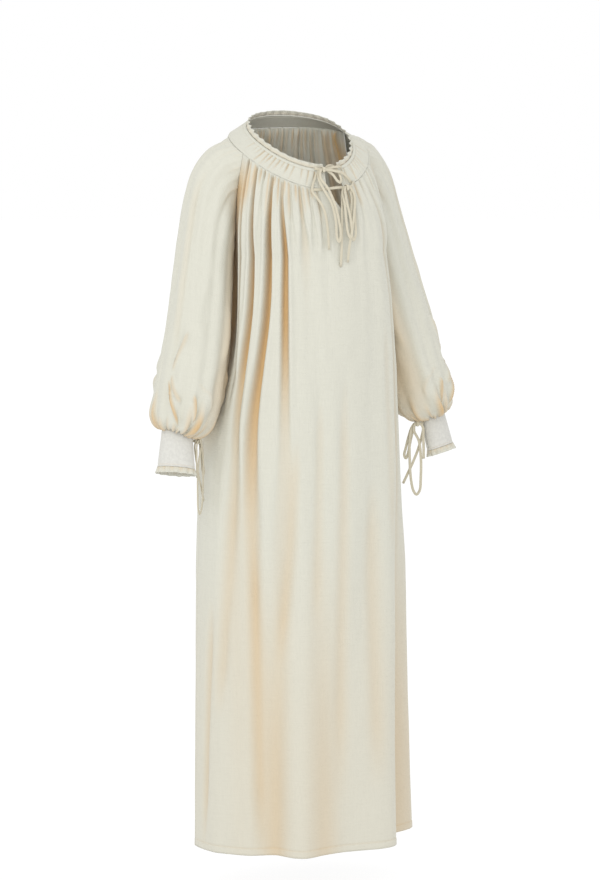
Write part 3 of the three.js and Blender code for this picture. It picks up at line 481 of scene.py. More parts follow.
def cloth_object(name, points, settings, closed=False, thickness=None, painted_shade=None, keep=None, outward=1):
    """A thin closed shell from a grid of points in millimetres, with a UV map in metres."""
    rows, cols = points.shape[:2]
    thick = settings.shell / MM if thickness is None else thickness
    normals = grid_normals(points, closed) * outward
    inner = points - normals * thick
    verts = np.concatenate((points.reshape(-1, 3), inner.reshape(-1, 3))) * MM
    count = rows * cols
    spans = cols if closed else cols - 1
    i, j = np.meshgrid(np.arange(rows - 1), np.arange(spans), indexing="ij")
    held = np.ones(i.shape, bool) if keep is None else keep[: rows - 1, :spans]
    k = (j + 1) % cols
    a, b, c, d = i * cols + j, i * cols + k, (i + 1) * cols + k, (i + 1) * cols + j
    quads = np.stack((a, d, c, b), -1)[held]
    # corners of each quad as (row, column not wrapped) for the UV map
    corner = np.stack((np.stack((i, j), -1), np.stack((i + 1, j), -1), np.stack((i + 1, j + 1), -1),
                       np.stack((i, j + 1), -1)), -2)[held]
    if outward < 0:
        quads, corner = quads[:, ::-1], corner[:, ::-1]
    edge_faces, edge_corners = [], []
    padded = np.zeros((rows + 1, spans + 2), bool)
    padded[1:rows, 1:spans + 1] = held
    if closed:
        padded[:, 0], padded[:, -1] = padded[:, -2], padded[:, 1]

    def rim(first, second, cells):
        p, q = first[cells], second[cells]
        pc, qc = corner_of(first, cells), corner_of(second, cells)
        edge_faces.append(np.stack((p, q, q + count, p + count), -1))
        edge_corners.append(np.stack((pc, qc, qc, pc), -2))

    grid_corner = {id(a): (0, 0), id(b): (0, 1), id(c): (1, 1), id(d): (1, 0)}

    def corner_of(which, cells):
        di, dj = grid_corner[id(which)]
        return np.stack((i[cells] + di, j[cells] + dj), -1)

    # each side of the quads with the quads beyond it; a side without one gets an edge face
    pairs = ((a, b, padded[:-2, 1:-1]), (c, d, padded[2:, 1:-1]), (d, a, padded[1:-1, :-2]),
             (b, c, padded[1:-1, 2:]))
    for first, second, neighbour in pairs:
        cells = held & ~neighbour[: rows - 1, :spans]
        if cells.any():
            rim(*((first, second) if outward > 0 else (second, first)), cells)
    faces = np.concatenate([quads, quads[:, ::-1] + count] + edge_faces)
    corners = np.concatenate([corner, corner[:, ::-1]] + edge_corners)
    mesh = bpy.data.meshes.new(name)
    used = np.zeros(len(verts), bool)
    used[faces.reshape(-1)] = True
    index = np.cumsum(used) - 1
    mesh.from_pydata(verts[used].tolist(), [], index[faces].tolist())
    mesh.polygons.foreach_set("use_smooth", np.ones(len(mesh.polygons), bool))
    # cloth coordinates: across along each row, down along the middle column
    ring = np.concatenate((points, points[:, :1]), 1) if closed else points
    step = np.linalg.norm(np.diff(ring, axis=1), axis=2)
    u = np.concatenate((np.zeros((rows, 1)), np.cumsum(step, 1)), 1)
    u -= u[:, u.shape[1] // 2][:, None]
    v = run_down(points)
    uv = np.stack((u, np.repeat(v[-1] - v[:, None], u.shape[1], 1)), -1) * MM
    layer = mesh.uv_layers.new(name="cloth")
    layer.data.foreach_set("uv", uv[corners[..., 0], corners[..., 1]].reshape(-1))
    if painted_shade is not None:
        # painted shade of the folds and seams, kept as the fold attribute that the material reads
        attribute = mesh.attributes.new("fold", "FLOAT", "POINT")
        both = np.concatenate((painted_shade.reshape(-1), painted_shade.reshape(-1)))[used]
        attribute.data.foreach_set("value", np.clip(both, 0, 1).astype(np.float32))
    mesh.update()
    return link_object(name, mesh)


def finish_piece(obj, material, node):
    """Gives a piece its material and body, and hides its CAD node."""
    obj.data.materials.append(material)
    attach(obj, "root")
    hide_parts(node)
    return obj


# ---------------------------------------------------------------- body panels


def slit_edges(share):
    """Angles of the slit's two edges at a row, which close to a line below the slit."""
    if share is None or share >= SLIT_SHARES[-1]:
        t = 1 if share is None else ease((share - SLIT_SHARES[-1]) / (1 - SLIT_SHARES[-1]))
        middle = lerp(ring_degrees(BAND_SEAM, SLIT_CENTRES[-1]), SLIT_LINE, t)
        return middle - 0.4, middle + 0.4
    centre = np.interp(share, SLIT_SHARES, SLIT_CENTRES)
    half = np.interp(share, SLIT_SHARES, SLIT_HALVES)
    return tuple(ring_degrees(BAND_SEAM, centre + sign * half) for sign in (-1, 1))


def gather_angles(gathers, share, z):
    """Angles of all large gathers of a panel at a row."""
    return np.array([along_body(share, z, g.band, g.bust, g.hip, g.hem) for g in gathers])


def gather_depths(gathers, share, z):
    """Depths of all large gathers of a panel at a row."""
    if share is not None:
        start = min(1.0, share / 0.07)
        return np.array([start * lerp(g.top, g.mid, ease(share)) for g in gathers])
    return np.array([along_body(share, z, g.top, g.mid, g.low, g.end) for g in gathers])


# Long soft creases of the skirt: places as angle and height, width and depth
SKIRT_CREASES = (
    (((-79, -840), (-82, -1020), (-86, -1306)), 7, 5.5),
    (((-66, -600), (-68, -800), (-73, -1060)), 10, 5),
    (((-52, -700), (-50, -960), (-47, -1306)), 9, 6),
    (((-27, -520), (-30, -740), (-36, -960)), 9, 5),
    (((-13, -430), (-14, -640), (-16, -900)), 8, 3.5),
    (((3, -380), (1, -600), (-2, -900), (-3, -1220)), 10, 4.5),
    (((20, -600), (18, -860), (17, -1200)), 12, 4.5),
    (((34, -300), (35, -520), (33, -780)), 10, 3.5),
    (((84, -560), (86, -800), (83, -1100)), 10, 5),
    (((113, -640), (114, -900), (112, -1200)), 9, 5),
    (((146, -420), (144, -700), (147, -1000)), 9, 4),
    (((173, -380), (174, -560), (173, -820)), 8, 4),
    (((188, -700), (190, -960), (188, -1306)), 9, 4.5),
    (((216, -460), (214, -760), (217, -1080)), 10, 4.5),
    (((246, -620), (247, -900), (245, -1250)), 9, 5),
)


def large_folds(gathers, share, z, degrees):
    """Offset and painted shade of the large gathers at a row, crisp above and softer towards the hem."""
    down = down_of(share, z)
    widen = 1 if share is not None else lerp(1, 2.6, ease((UNDERARM - z) / 1000))
    offset, painted_shade = np.zeros(len(degrees)), np.zeros(len(degrees))
    stations = gather_angles(gathers, share, z), gather_depths(gathers, share, z)
    for g, at, deep in zip(gathers, *stations):
        large = float(ease((max(g.mid, g.low) - 5) / 7))
        soft = ease((down - lerp(50, 330, large)) / lerp(170, 420, large))
        pinch = lerp(lerp(0.38, 0.66, ease(down / 260)), lerp(1.7, 1.0, large), soft)
        away = np.abs(np.radians(degrees - at)) * BODY_RADIUS / (g.width * widen * pinch)
        crisp = bell(away, 4)
        offset += deep * (0.2 * bell((away - 1.9) / 0.7) - lerp(1.3 * crisp, bell(away, 1.8), soft))
        # painted shade in the valleys of the deeper gathers, narrow above and broad below
        painted_shade += np.clip((deep - 3.5) / 9, 0, 1) * lerp(1.05 * crisp, 0.3 * bell(away / 0.8), soft)
    return offset, painted_shade


def fine_folds(gathers, fine, share, z, degrees, radius, strength):
    """Offset and painted shade of the fine gathers at a row, which run along with the large ones."""
    down = down_of(share, z)
    offset, painted_shade = np.zeros(len(degrees)), np.zeros(len(degrees))
    bands, angles = [g.band for g in gathers], gather_angles(gathers, share, z)
    for angle, long, deep, wide in fine:
        fade = min(1.0, down / 6) * (1 - ease((down - 0.25 * long) / (0.75 * long)))
        if fade > 0:
            away = np.radians(degrees - np.interp(angle, bands, angles)) * radius
            ridge = bell(away / (wide * (1 + down / 60)))
            offset -= deep * fade * strength * ridge
            # painted shade in the valleys of the fine gathers
            painted_shade += 0.13 * deep * fade * ridge**2
    return offset, painted_shade


def panel_grid(front, settings):
    """Points of the front or the back panel, and its painted shade."""
    gathers = [Gather(*row) for row in (FRONT_GATHERS if front else BACK_GATHERS)]
    fine = [g for row in (FRONT_FINE if front else BACK_FINE) for g in fine_gathers(*row)]
    columns, seed = (FRONT_COLUMNS, 11) if front else (BACK_COLUMNS, 21)
    gap = math.degrees(SEAM_GAP / 2 / SEAM_RADIUS)
    points, painted_shades = [], []
    for share, z in body_rows():
        edge = seam_angle(RAGLAN_FRONT if front else RAGLAN_BACK, share)
        low, high = (-edge + gap, edge - gap) if front else (edge + gap, 360 - edge - gap)
        degrees = np.linspace(low, high, columns)
        if front:
            left, right = slit_edges(share)
            sides = np.linspace(low, left, SLIT_COLUMN), np.linspace(right, high, columns - SLIT_COLUMN)
            degrees = np.concatenate(sides)
        p = body_surface(share, z, degrees)
        out = p - np.stack((np.zeros(columns), np.full(columns, BODY_MIDDLE), p[:, 2]), -1)
        radius = np.linalg.norm(out, axis=1)
        out /= radius[:, None]
        down = down_of(share, z)
        offset, painted_shade = large_folds(gathers, share, z, degrees)
        more = fine_folds(gathers, fine, share, z, degrees, radius, settings.gather)
        offset, painted_shade = offset + more[0], painted_shade + more[1]
        if share is None:
            flat_u, v = np.radians(degrees) * BODY_RADIUS, np.full(columns, z)
            for crease in SKIRT_CREASES:
                field = crease_field(flat_u, v, crease, BODY_RADIUS)
                offset -= field
                # painted shade in the creases
                painted_shade += field / 22
            # stitched line of the narrow hem, and its turned edge
            stitch = bell((z - HEM - HEM_STITCH) / 1.3)
            offset += 0.6 * ease((HEM + 13 - z) / 3) - 0.8 * stitch
            # painted shade in the groove of the hem's stitched line
            painted_shade += 0.12 * stitch
        arc, row = np.radians(degrees) * radius + 4000, np.full(columns, down + 900.0)
        rough = 1.5 * smooth_noise(seed, arc, row, 34, 150) + 0.5 * smooth_noise(seed + 1, arc, row, 12, 46)
        start = min(1.0, down / 60)
        offset += rough * settings.rumple * start
        near = np.minimum(np.abs(degrees - low), np.abs(degrees - high))
        points.append(p + out * (offset * ease(near / 7))[:, None])
        # warm shade beside the arm, gone below the cuffs, and a little towards the hem
        shade = 0.95 * (1 - ease((near - 4) / 21)) * start * (1 - ease((down - 320) / 260))
        painted_shades.append(painted_shade * ease(near / 3) + shade + 0.13 * ease((down - 380) / 700))
    return np.array(points), np.array(painted_shades)


class CHEMISE_OT_body(Operator):
    """Front and back panels, gathered into the neck band"""

    bl_idname = "chemise.body"
    bl_label = "Body panels"

    def execute(self, context):
        """Builds the two panels."""
        settings = context.scene.chemise_sizes
        cloth = linen_material("linen_plain_weave", context.scene.chemise_colours.linen)
        for node, front, flat in (("body_front", True, (0.78, 1.31)), ("body_back", False, (0.70, 1.34))):
            points, painted_shade = panel_grid(front, settings)
            keep = np.ones(points.shape[:2], bool)
            if front:
                # the open slit
                for i, (share, _) in enumerate(body_rows()):
                    keep[i, SLIT_COLUMN - 1] = share is None or share >= SLIT_SHARES[-1]
            panel = cloth_object(f"{node}_cloth", points, settings, painted_shade=painted_shade, keep=keep)
            finish_piece(panel, cloth, node)
        return {"FINISHED"}


# ---------------------------------------------------------------- sleeves


def cuff_axes():
    """Axis of the cuff and its wide and narrow directions."""
    axis = Vector([CUFF_TOP[k] - CUFF_BOTTOM[k] for k in "xyz"]).normalized()
    turn = math.radians(CUFF_TURN)
    wide = Vector((math.cos(turn), math.sin(turn), 0))
    wide = (wide - axis * wide.dot(axis)).normalized()
    return np.array(axis), np.array(wide), np.array(axis.cross(wide).normalized())


AXIS, WIDE, NARROW = cuff_axes()


def cuff_points(degrees, share, lift, swell=0.0):
    """Points of the left cuff: share 0 at its top, 1 at its bottom."""
    centre = np.array([lerp(CUFF_TOP[k], CUFF_BOTTOM[k], share) for k in "xyz"], float)
    wide = lerp(CUFF_TOP["wide"], CUFF_BOTTOM["wide"], share) + swell
    narrow = lerp(CUFF_TOP["narrow"], CUFF_BOTTOM["narrow"], share) + swell
    turn = np.radians(degrees + CUFF_TURN)
    points = centre + (wide * np.cos(turn))[:, None] * WIDE - (narrow * np.sin(turn))[:, None] * NARROW
    points += AXIS * lift
    points[:, 2] += lerp(CUFF_TOP["slope"], CUFF_BOTTOM["slope"], share) * wide * np.cos(np.radians(degrees))
    return points


def raglan_side(start, sign):
    """Points of one raglan seam from the band to the underarm, each with its angle round the arm."""
    top, low = SLEEVE[0][SLEEVE_NAMES.index("outer_z")], SLEEVE[0][SLEEVE_NAMES.index("inner_z")]
    gap = math.degrees(SEAM_GAP / SEAM_RADIUS)
    out = []
    for share in np.linspace(0, 1, RAGLAN_POINTS):
        p = body_surface(share, None, np.array([seam_angle(start, share) + sign * gap]))[0]
        level = math.degrees(math.acos(np.clip((2 * p[2] - top - low) / (top - low), -1, 1)))
        least = 31 + 6.5 * np.interp(share, RAGLAN_SHARES, range(len(RAGLAN_SHARES)))
        out.append((p, min(max(level, least), 176)))
    return out


def armhole_ring():
    """Points of the sleeve's first ring and the angle of each round the arm."""
    cap_front = [(a, np.interp(-a, CAP_FRONT, CAP_ANGLES)) for a in np.linspace(95.75, 79.2, 24)]
    cap_back = [(a, 360 - np.interp(a, CAP_BACK, CAP_ANGLES)) for a in np.linspace(112, 96.4, 23)]
    front, back = raglan_side(RAGLAN_FRONT, 1), raglan_side(RAGLAN_BACK, -1)
    low = (front[-1][0] + back[-1][0]) / 2 + np.array((0.5, 0, 0))
    ring = [(neck_ring(BAND_SEAM, np.array([a]))[0], angle) for a, angle in cap_front]
    ring += front[:-1] + [(low, 180)] + [(p, 360 - a) for p, a in reversed(back[:-1])]
    ring += [(neck_ring(BAND_SEAM, np.array([a]))[0], angle) for a, angle in cap_back]
    angles = np.array([a for _, a in ring], float)
    half_at = len(cap_front) + len(front) - 1
    angles[:half_at] = np.maximum.accumulate(angles[:half_at])
    angles[half_at:] = np.minimum.accumulate(angles[half_at:][::-1])[::-1]
    return np.array([p for p, _ in ring]), angles


def catmull(rings, steps):
    """Rings between the given ones on a smooth curve."""
    rings = np.array(rings)
    out = []
    last = len(rings) - 1
    for k, count in enumerate(steps):
        p0, p1, p2, p3 = (rings[min(max(k + d, 0), last)] for d in (-1, 0, 1, 2))
        square, cube = 2 * p0 - 5 * p1 + 4 * p2 - p3, 3 * p1 - p0 - 3 * p2 + p3
        for t in np.arange(count) / count:
            out.append(0.5 * (2 * p1 + (p2 - p0) * t + square * t**2 + cube * t**3))
    return np.array(out + [rings[-1]])


# Creases of the sleeve cloth, outside, inside and behind: places as angle and height, width and depth
SLEEVE_CREASES = (
    (((108, -22), (109, -44), (110, -66)), 4.0, 4.5),
    (((20, -34), (20, -60), (22, -120), (22, -176), (22, -260), (22, -339), (20, -405)), 10, 7),
    (((46, -338), (41, -365), (32, -394), (23, -422)), 4.4, 5.6),
    (((23, -420), (36, -446), (52, -474)), 4.0, 5.8),
    (((62, -428), (80, -442), (98, -458), (108, -476), (108, -500)), 4.4, 2.8),
    (((20, -428), (30, -455), (42, -482), (56, -516)), 3.0, 7.5),
    (((69, -452), (76, -480), (84, -510)), 3.2, 6.5),
    (((6, -300), (2, -350), (6, -392)), 7, 2.5),
    (((64, -250), (58, -310), (60, -360)), 9, 2.5),
    (((120, -300), (126, -360), (118, -410)), 8, 3),
    (((300, -372), (314, -404), (328, -426)), 7, 3.8),
    (((334, -424), (316, -450), (300, -476)), 5, 5),
    (((262, -356), (240, -396), (214, -420)), 7, 4),
    (((276, -430), (264, -470), (260, -506)), 4.5, 5),
    (((150, -420), (164, -452), (160, -486)), 5, 4),
    (((206, -440), (218, -476), (226, -508)), 4.5, 4.5),
    (((250, -90), (256, -180), (252, -280), (256, -350)), 9, 3.5),
    (((290, -60), (296, -150), (300, -240)), 8, 3),
)


def sleeve_rings(ring, angles):
    """Rings of the sleeve with its long folds, from the armhole to the cuff."""
    s, c = np.sin(np.radians(angles)), np.cos(np.radians(angles))
    rings = [ring]
    for r, row in enumerate(SLEEVE):
        g = dict(zip(SLEEVE_NAMES, row))
        fold = long_folds(angles, r / (len(SLEEVE) - 1)) * g["fold"]
        grow = 1 - fold / 62
        cx, cz = (g["outer_x"] + g["inner_x"]) / 2, (g["outer_z"] + g["inner_z"]) / 2
        hx, hz = (g["outer_x"] - g["inner_x"]) / 2, (g["outer_z"] - g["inner_z"]) / 2
        cy = lerp(g["inner_y"], g["centre_y"], (1 + c) / 2)
        q = np.stack((cx + hx * c * grow, cy - g["depth"] * s * grow, cz + hz * c * grow), -1)
        rings.append(lerp(ring, q, g["blend"]))
    return rings + [cuff_points(angles, 0, SEAM_GAP * 3)]


def long_folds(angles, share):
    """Depth of the sleeve's long folds at a share of its length."""
    depth = 0.0
    for angle, shoulder, elbow, cuff, width in SLEEVE_FOLDS:
        deep = np.where(share < 0.5, lerp(shoulder, elbow, share * 2), lerp(elbow, cuff, share * 2 - 1))
        depth = depth + deep * bell(apart(angles, angle) / width)
    return depth


def sleeve_gathers(u, down, up):
    """Depth and painted shade of the fine gathers at the shoulder and of the tight ones at the cuff."""
    depth, painted_shade = np.zeros(u.shape), np.zeros(u.shape)
    rng = np.random.default_rng(31)
    for angle in np.arange(-78, 79, 10.3):
        at = angle + 3 * (rng.random() - 0.5)
        long, deep = lerp(26, 110, rng.random() ** 1.6), lerp(0.6, 1.9, rng.random())
        ridge = bell(apart(u, at) / (lerp(2.0, 3.2, rng.random()) * (1 + down / 160)))
        ridge = ridge * np.minimum(1, down / 6) * (1 - ease((down - 0.2 * long) / (0.8 * long)))
        depth += deep * ridge
        # painted shade in the valleys of the shoulder gathers
        painted_shade += 0.06 * deep * ridge
    angle = 0.0
    while angle < 356:
        long, deep = lerp(28, 105, rng.random() ** 1.5), lerp(4.0, 8.5, rng.random())
        wide = lerp(3.0, 4.6, rng.random()) * (1 + np.clip(up, 0, 90) / 70)
        lean = lerp(-8, 8, rng.random()) * np.clip(up / 80, 0, 1)
        away = apart(u, angle + lean) / wide
        fade = np.minimum(1, 0.25 + up / 14) * (1 - ease((up - 0.3 * long) / (0.7 * long)))
        depth += deep * fade * bell(away)
        # painted shade in the valleys of the gathers at the cuff
        painted_shade += 0.09 * deep * fade * bell(away * 1.2)
        angle += lerp(9, 17, rng.random())
    return depth, painted_shade


def sleeve_grid(settings, sign):
    """Points of one sleeve, and the painted shade of its folds."""
    ring, angles = armhole_ring()
    points = catmull(sleeve_rings(ring, angles), SLEEVE_STEPS)
    normals = grid_normals(points, True)
    u = np.repeat(angles[None, :], len(points), 0)
    down = run_down(points)[:, None]
    up = down[-1] - down
    depth, painted_shade = sleeve_gathers(u, down, up)
    depth *= settings.gather
    flat_u, v = np.radians(u) * ARM_RADIUS, points[..., 2]
    for crease in SLEEVE_CREASES:
        field = crease_field(flat_u, v, crease, ARM_RADIUS)
        depth += field
        # painted shade in the creases, stronger in the narrow ones
        painted_shade += np.clip(field - 1.2, 0, None) / 12 * (4 / crease[1]) ** 1.6
    rough = 1.5 * smooth_noise(41, flat_u + 500, v + 2000, 24, 80)
    rough += 0.9 * smooth_noise(42, flat_u + 500, v + 2000, 14, 30)
    depth -= rough * np.minimum(1, down / 25) * np.minimum(1, up / 20) * settings.rumple
    hold = np.minimum(1, down / 4) * np.minimum(1, up / 3)
    points = points - normals * (depth * hold)[..., None]
    # soft shade of the long folds, and warm shade between the arm and the body
    painted_shade += long_folds(u, down / down[-1]) / 90
    painted_shade += 0.55 * bell(apart(u, 180) / 70, 5) * (1 - ease((down - 380) / 160))
    points[..., 0] *= sign
    return points, painted_shade


class CHEMISE_OT_sleeves(Operator):
    """Full sleeves, gathered into the neck band and the cuffs"""

    bl_idname = "chemise.sleeves"
    bl_label = "Sleeves"

    def execute(self, context):
        """Builds both sleeves."""
        settings = context.scene.chemise_sizes
        cloth = linen_material("linen_sleeve_weave", context.scene.chemise_colours.linen)
        for side, sign in (("left", 1), ("right", -1)):
            points, painted_shade = sleeve_grid(settings, sign)
            obj = cloth_object(
                f"sleeve_{side}_cloth", points, settings, closed=True, painted_shade=painted_shade, outward=-sign,
            )
            finish_piece(obj, cloth, f"sleeve_{side}")
        return {"FINISHED"}


# ---------------------------------------------------------------- neck band and frill


def seam_normals(points):
    """Direction in which the pieces take their thickness near the neck."""
    return unit(np.stack((points[..., 0], points[..., 1] + 10, 60 + 0.1 * points[..., 2]), -1))


def band_marks():
    """Uneven ruches of the band on both sides of the slit: angle, depth, lean and length."""
    rng = np.random.default_rng(51)
    marks = []
    for side, at in ((-1, 8.0), (1, 9.0)):
        while at < 112:
            deep, lean = lerp(1.8, 4.2, rng.random()), lerp(-4.2, 1.8, rng.random())
            marks.append((side * at, deep, lean, rng.random()))
            at += lerp(3.8, 7.6, rng.random())
    return marks


def band_grid():
    """Points of the neck band, and the painted shade of its ruches and stitched lines."""
    first = ring_degrees(BAND_SEAM, SLIT_CENTRE_TOP + SLIT_HALVES[0])
    last = 360 + ring_degrees(BAND_SEAM, SLIT_CENTRE_TOP - SLIT_HALVES[0])
    degrees = np.linspace(first, last, BAND_COLUMNS)
    top, low = neck_ring(NECK_LINE, degrees), neck_ring(BAND_SEAM, degrees)
    run = unit(low - top)
    # the ends stand straight beside the slit
    for end, across, away in ((0, SLIT_CENTRE_TOP + SLIT_HALF_TOP, degrees - first),
                              (-1, SLIT_CENTRE_TOP - SLIT_HALF_TOP, last - degrees)):
        top[:, 0] += (across - top[end, 0]) * np.clip(1 - away / 8, 0, 1)
    shares = (np.linspace(0, 0.2, 8), np.linspace(0.2, 0.84, 15)[1:], np.linspace(0.84, 1, 6)[1:])
    fade = ease((100 - apart(degrees, 0)) / 36)
    signed = (degrees + 180) % 360 - 180
    marks = band_marks()
    points, painted_shades = [], []
    for share in np.concatenate(shares):
        p = lerp(top, low, share)
        offset = np.full(len(degrees), float(np.interp(share, (0, 0.2, 0.8, 1), (0.4, 1.5, 1.1, 0))))
        painted_shade = np.zeros(len(degrees))
        for at, deep, lean, long in marks:
            away = np.radians(signed - at - lean * share) * lerp(97, 124, share) / lerp(1.1, 1.9, share)
            reach = np.interp(share, (0.14, 0.19, 0.4, lerp(0.6, 0.92, long), 1.0), (0, 1, 0.9, 0.3, 0.05))
            valley = bell(away) * reach * fade
            offset -= deep * valley
            # painted shade in the valleys of the ruches
            painted_shade += 0.16 * deep * valley
        # casings with the drawstring inside, between two stitched lines
        offset += bell((share - 0.09) / 0.05) + 0.9 * bell((share - 0.93) / 0.045)
        line = bell((share - 0.165) / 0.016) + 0.8 * bell((share - 0.86) / 0.014)
        offset -= 0.8 * line
        # painted shade in the stitched lines
        painted_shade += 0.2 * line
        points.append(p + seam_normals(p) * offset[:, None])
        painted_shades.append(painted_shade)
    points = np.array(points)
    points[-1] -= run * SEAM_GAP * 1.4
    return points, np.array(painted_shades)


def neck_frill_grid():
    """Points of the frill that stands above the upper drawstring, and painted shade at its foot."""
    start = ring_degrees(NECK_LINE, SLIT_CENTRE_TOP + SLIT_HALF_TOP + 1)
    end = 360 + ring_degrees(NECK_LINE, SLIT_CENTRE_TOP - SLIT_HALF_TOP - 1)
    columns = NECK_WAVES * 14 + 1
    share = np.linspace(0, 1, columns)
    degrees = lerp(start, end, share)
    base = neck_ring(NECK_LINE, degrees)
    up = unit(unit(base - neck_ring(BAND_SEAM, degrees)) + np.array((0, 0, 1.1)))
    out = unit(np.stack((base[:, 0], base[:, 1] + 13, np.zeros(columns)), -1))
    wave = np.sin(share * NECK_WAVES * 2 * np.pi) * 2.1
    small = 0.5 * smooth_noise(61, share * 900 + 10, np.zeros(columns) + 5, 7, 7)
    rows, painted_shades = [], []
    for level in np.linspace(0, 1, 6):
        ruffle = lerp(0.2, 1, level) * wave - 0.5 + level * small
        rows.append(base + up * (0.6 + 8.5 * level + level * small)[:, None] + out * ruffle[:, None])
        # painted shade, strongest at the foot of the frill and fading to its edge
        painted_shades.append(np.full(columns, lerp(0.3, 0.03, level)))
    return np.array(rows), np.array(painted_shades)


class CHEMISE_OT_neck(Operator):
    """Neck band with its two drawstring casings, and the narrow frill"""

    bl_idname = "chemise.neck"
    bl_label = "Neck band and frill"

    def execute(self, context):
        """Builds the band and its frill."""
        settings = context.scene.chemise_sizes
        cloth = linen_material("linen_band_weave", context.scene.chemise_colours.linen)
        points, painted_shade = band_grid()
        band = cloth_object("neck_band_cloth", points, settings, thickness=DOUBLE_THICKNESS, painted_shade=painted_shade)
        finish_piece(band, cloth, "neck_band")
        points, painted_shade = neck_frill_grid()
        frill = cloth_object("neck_frill_cloth", points, settings, thickness=FRILL_THICKNESS, painted_shade=painted_shade)
        finish_piece(frill, cloth, "neck_frill")
        return {"FINISHED"}


# ---------------------------------------------------------------- cuffs


def cuff_degrees(count):
    """Angles round a cuff, from one side of its slit to the other."""
    gap = math.degrees(CUFF_SLIT_GAP / 30)
    return CUFF_SLIT + gap / 2 + (360 - gap) * np.linspace(0, 1, count)


def cuff_grid(sign):
    """Points of one cuff, and painted shade in its stitched lines."""
    columns = 150
    degrees = cuff_degrees(columns)
    arc = np.radians(degrees) * 28 + 300
    rows, painted_shades = [], []
    for share in np.linspace(0, 1, 44):
        soft = 0.35 * smooth_noise(71, arc, np.full(columns, share * 66 + 40), 9, 14)
        # a stitched line and a rounded edge at the top and the bottom, with painted shade in the stitched
        # lines
        line = bell((share - 0.055) / 0.014) + bell((share - 0.945) / 0.014)
        edge = bell((share - 0.015) / 0.02) + bell((share - 0.99) / 0.02)
        rows.append(cuff_points(degrees, share, 0, soft * 0.6 + edge * 0.25 - 0.6 * line))
        painted_shades.append(np.full(columns, 0.3 * line))
    points = np.array(rows)
    points[..., 0] *= sign
    return points, np.array(painted_shades)


def cuff_frill_grid(sign):
    """Points of the frill at the bottom of a cuff, and its painted shade."""
    columns = CUFF_WAVES * 20 + 1
    share = np.linspace(0, 1, columns)
    degrees = cuff_degrees(columns)
    wave = np.sin(share * CUFF_WAVES * 2 * np.pi)
    fine = np.sin(share * CUFF_WAVES * 6 * np.pi + 0.7)
    small = smooth_noise(81, share * 200 + 10, np.zeros(columns) + 5, 5, 7)
    rows, painted_shades = [], []
    for level in np.linspace(0, 1, 7):
        swell = lerp(0.4 * (wave + fine), 2.5 + 2.0 * wave + 0.35 * small, level)
        drop = -0.5 - 11 * level - 0.5 * level * small
        rows.append(cuff_points(degrees, 1, 0, swell) + AXIS * drop[:, None])
        # painted shade near the cuff and in the hollows of the waves
        painted_shades.append((0.42 - 0.4 * level) * (0.6 + 0.5 * np.clip(-wave, 0, 1)))
    points = np.array(rows)
    points[..., 0] *= sign
    return points, np.array(painted_shades)


class CHEMISE_OT_cuffs(Operator):
    """Fitted cuffs with a slit, and their frills"""

    bl_idname = "chemise.cuffs"
    bl_label = "Cuffs and frills"

    def execute(self, context):
        """Builds both cuffs and both frills."""
        settings = context.scene.chemise_sizes
        cloth = linen_material("linen_cuff_mottled", context.scene.chemise_colours.cuff, mottled=True)
        trim = linen_material("linen_frill_weave", context.scene.chemise_colours.linen)
        for side, sign in (("left", 1), ("right", -1)):
            points, painted_shade = cuff_grid(sign)
            cuff = cloth_object(
                f"cuff_{side}_cloth", points, settings, thickness=DOUBLE_THICKNESS, painted_shade=painted_shade, outward=-sign,
            )
            finish_piece(cuff, cloth, f"cuff_{side}")
            points, painted_shade = cuff_frill_grid(sign)
            frill = cloth_object(
                f"cuff_frill_{side}_cloth", points, settings, thickness=FRILL_THICKNESS, painted_shade=painted_shade,
                outward=-sign,
            )
            finish_piece(frill, trim, f"cuff_frill_{side}")
        return {"FINISHED"}


# ---------------------------------------------------------------- ties


def front_depth(x, z):
    """Depth of the smooth cloth at the front, at a place across and up."""
    top, low = (neck_ring(ring, np.array([ring_degrees(ring, x)]))[0] for ring in (NECK_LINE, BAND_SEAM))
    places = []
    for t in np.linspace(0, 1, 41):
        degrees = math.degrees(math.asin(x / lerp(BAND_SEAM["half_width"], CHEST_HALF_WIDTH, t)))
        places += [lerp(top, low, t), body_surface(t, None, np.array([degrees]))[0]]
    return min(places, key=lambda p: abs(p[2] - z))[1]


def tie_route(tie):
    """Places of a tape across, up and out, through its knot."""
    first, second = (LAYER_OFF[k] for k in tie["layers"])
    reach = tie["enter"] * (KNOT_HALF + 1.6)
    count = len(tie["loop"])
    loop = [(s, z, lerp(first, second, (k + 0.5) / count)) for k, (s, z) in enumerate(tie["loop"])]
    entry, leave = [(reach, 0, first), (-reach, 0, first)], [(-reach, 0, second), (reach, 0, second)]
    return list(tie["lead"]) + entry + loop + leave + list(tie["tail"])


def neck_place(knot, p):
    """Place of a point of a neck tie."""
    x, z = knot[0] + p[0], knot[1] + p[1]
    away = float(ease((math.hypot(p[0], p[1]) - 6) / 14))
    return (x, lerp(front_depth(*knot), front_depth(x, z), away) - p[2], z)


def cuff_place(sign, p):
    """Place of a point of a cuff tie."""
    ax, ay = CUFF_ACROSS
    out = p[2] - KNOT_MIDDLE
    x, y, z = CUFF_KNOT
    return (sign * (x + ax * p[0] + ay * out), y + ay * p[0] - ax * out, z + p[1])


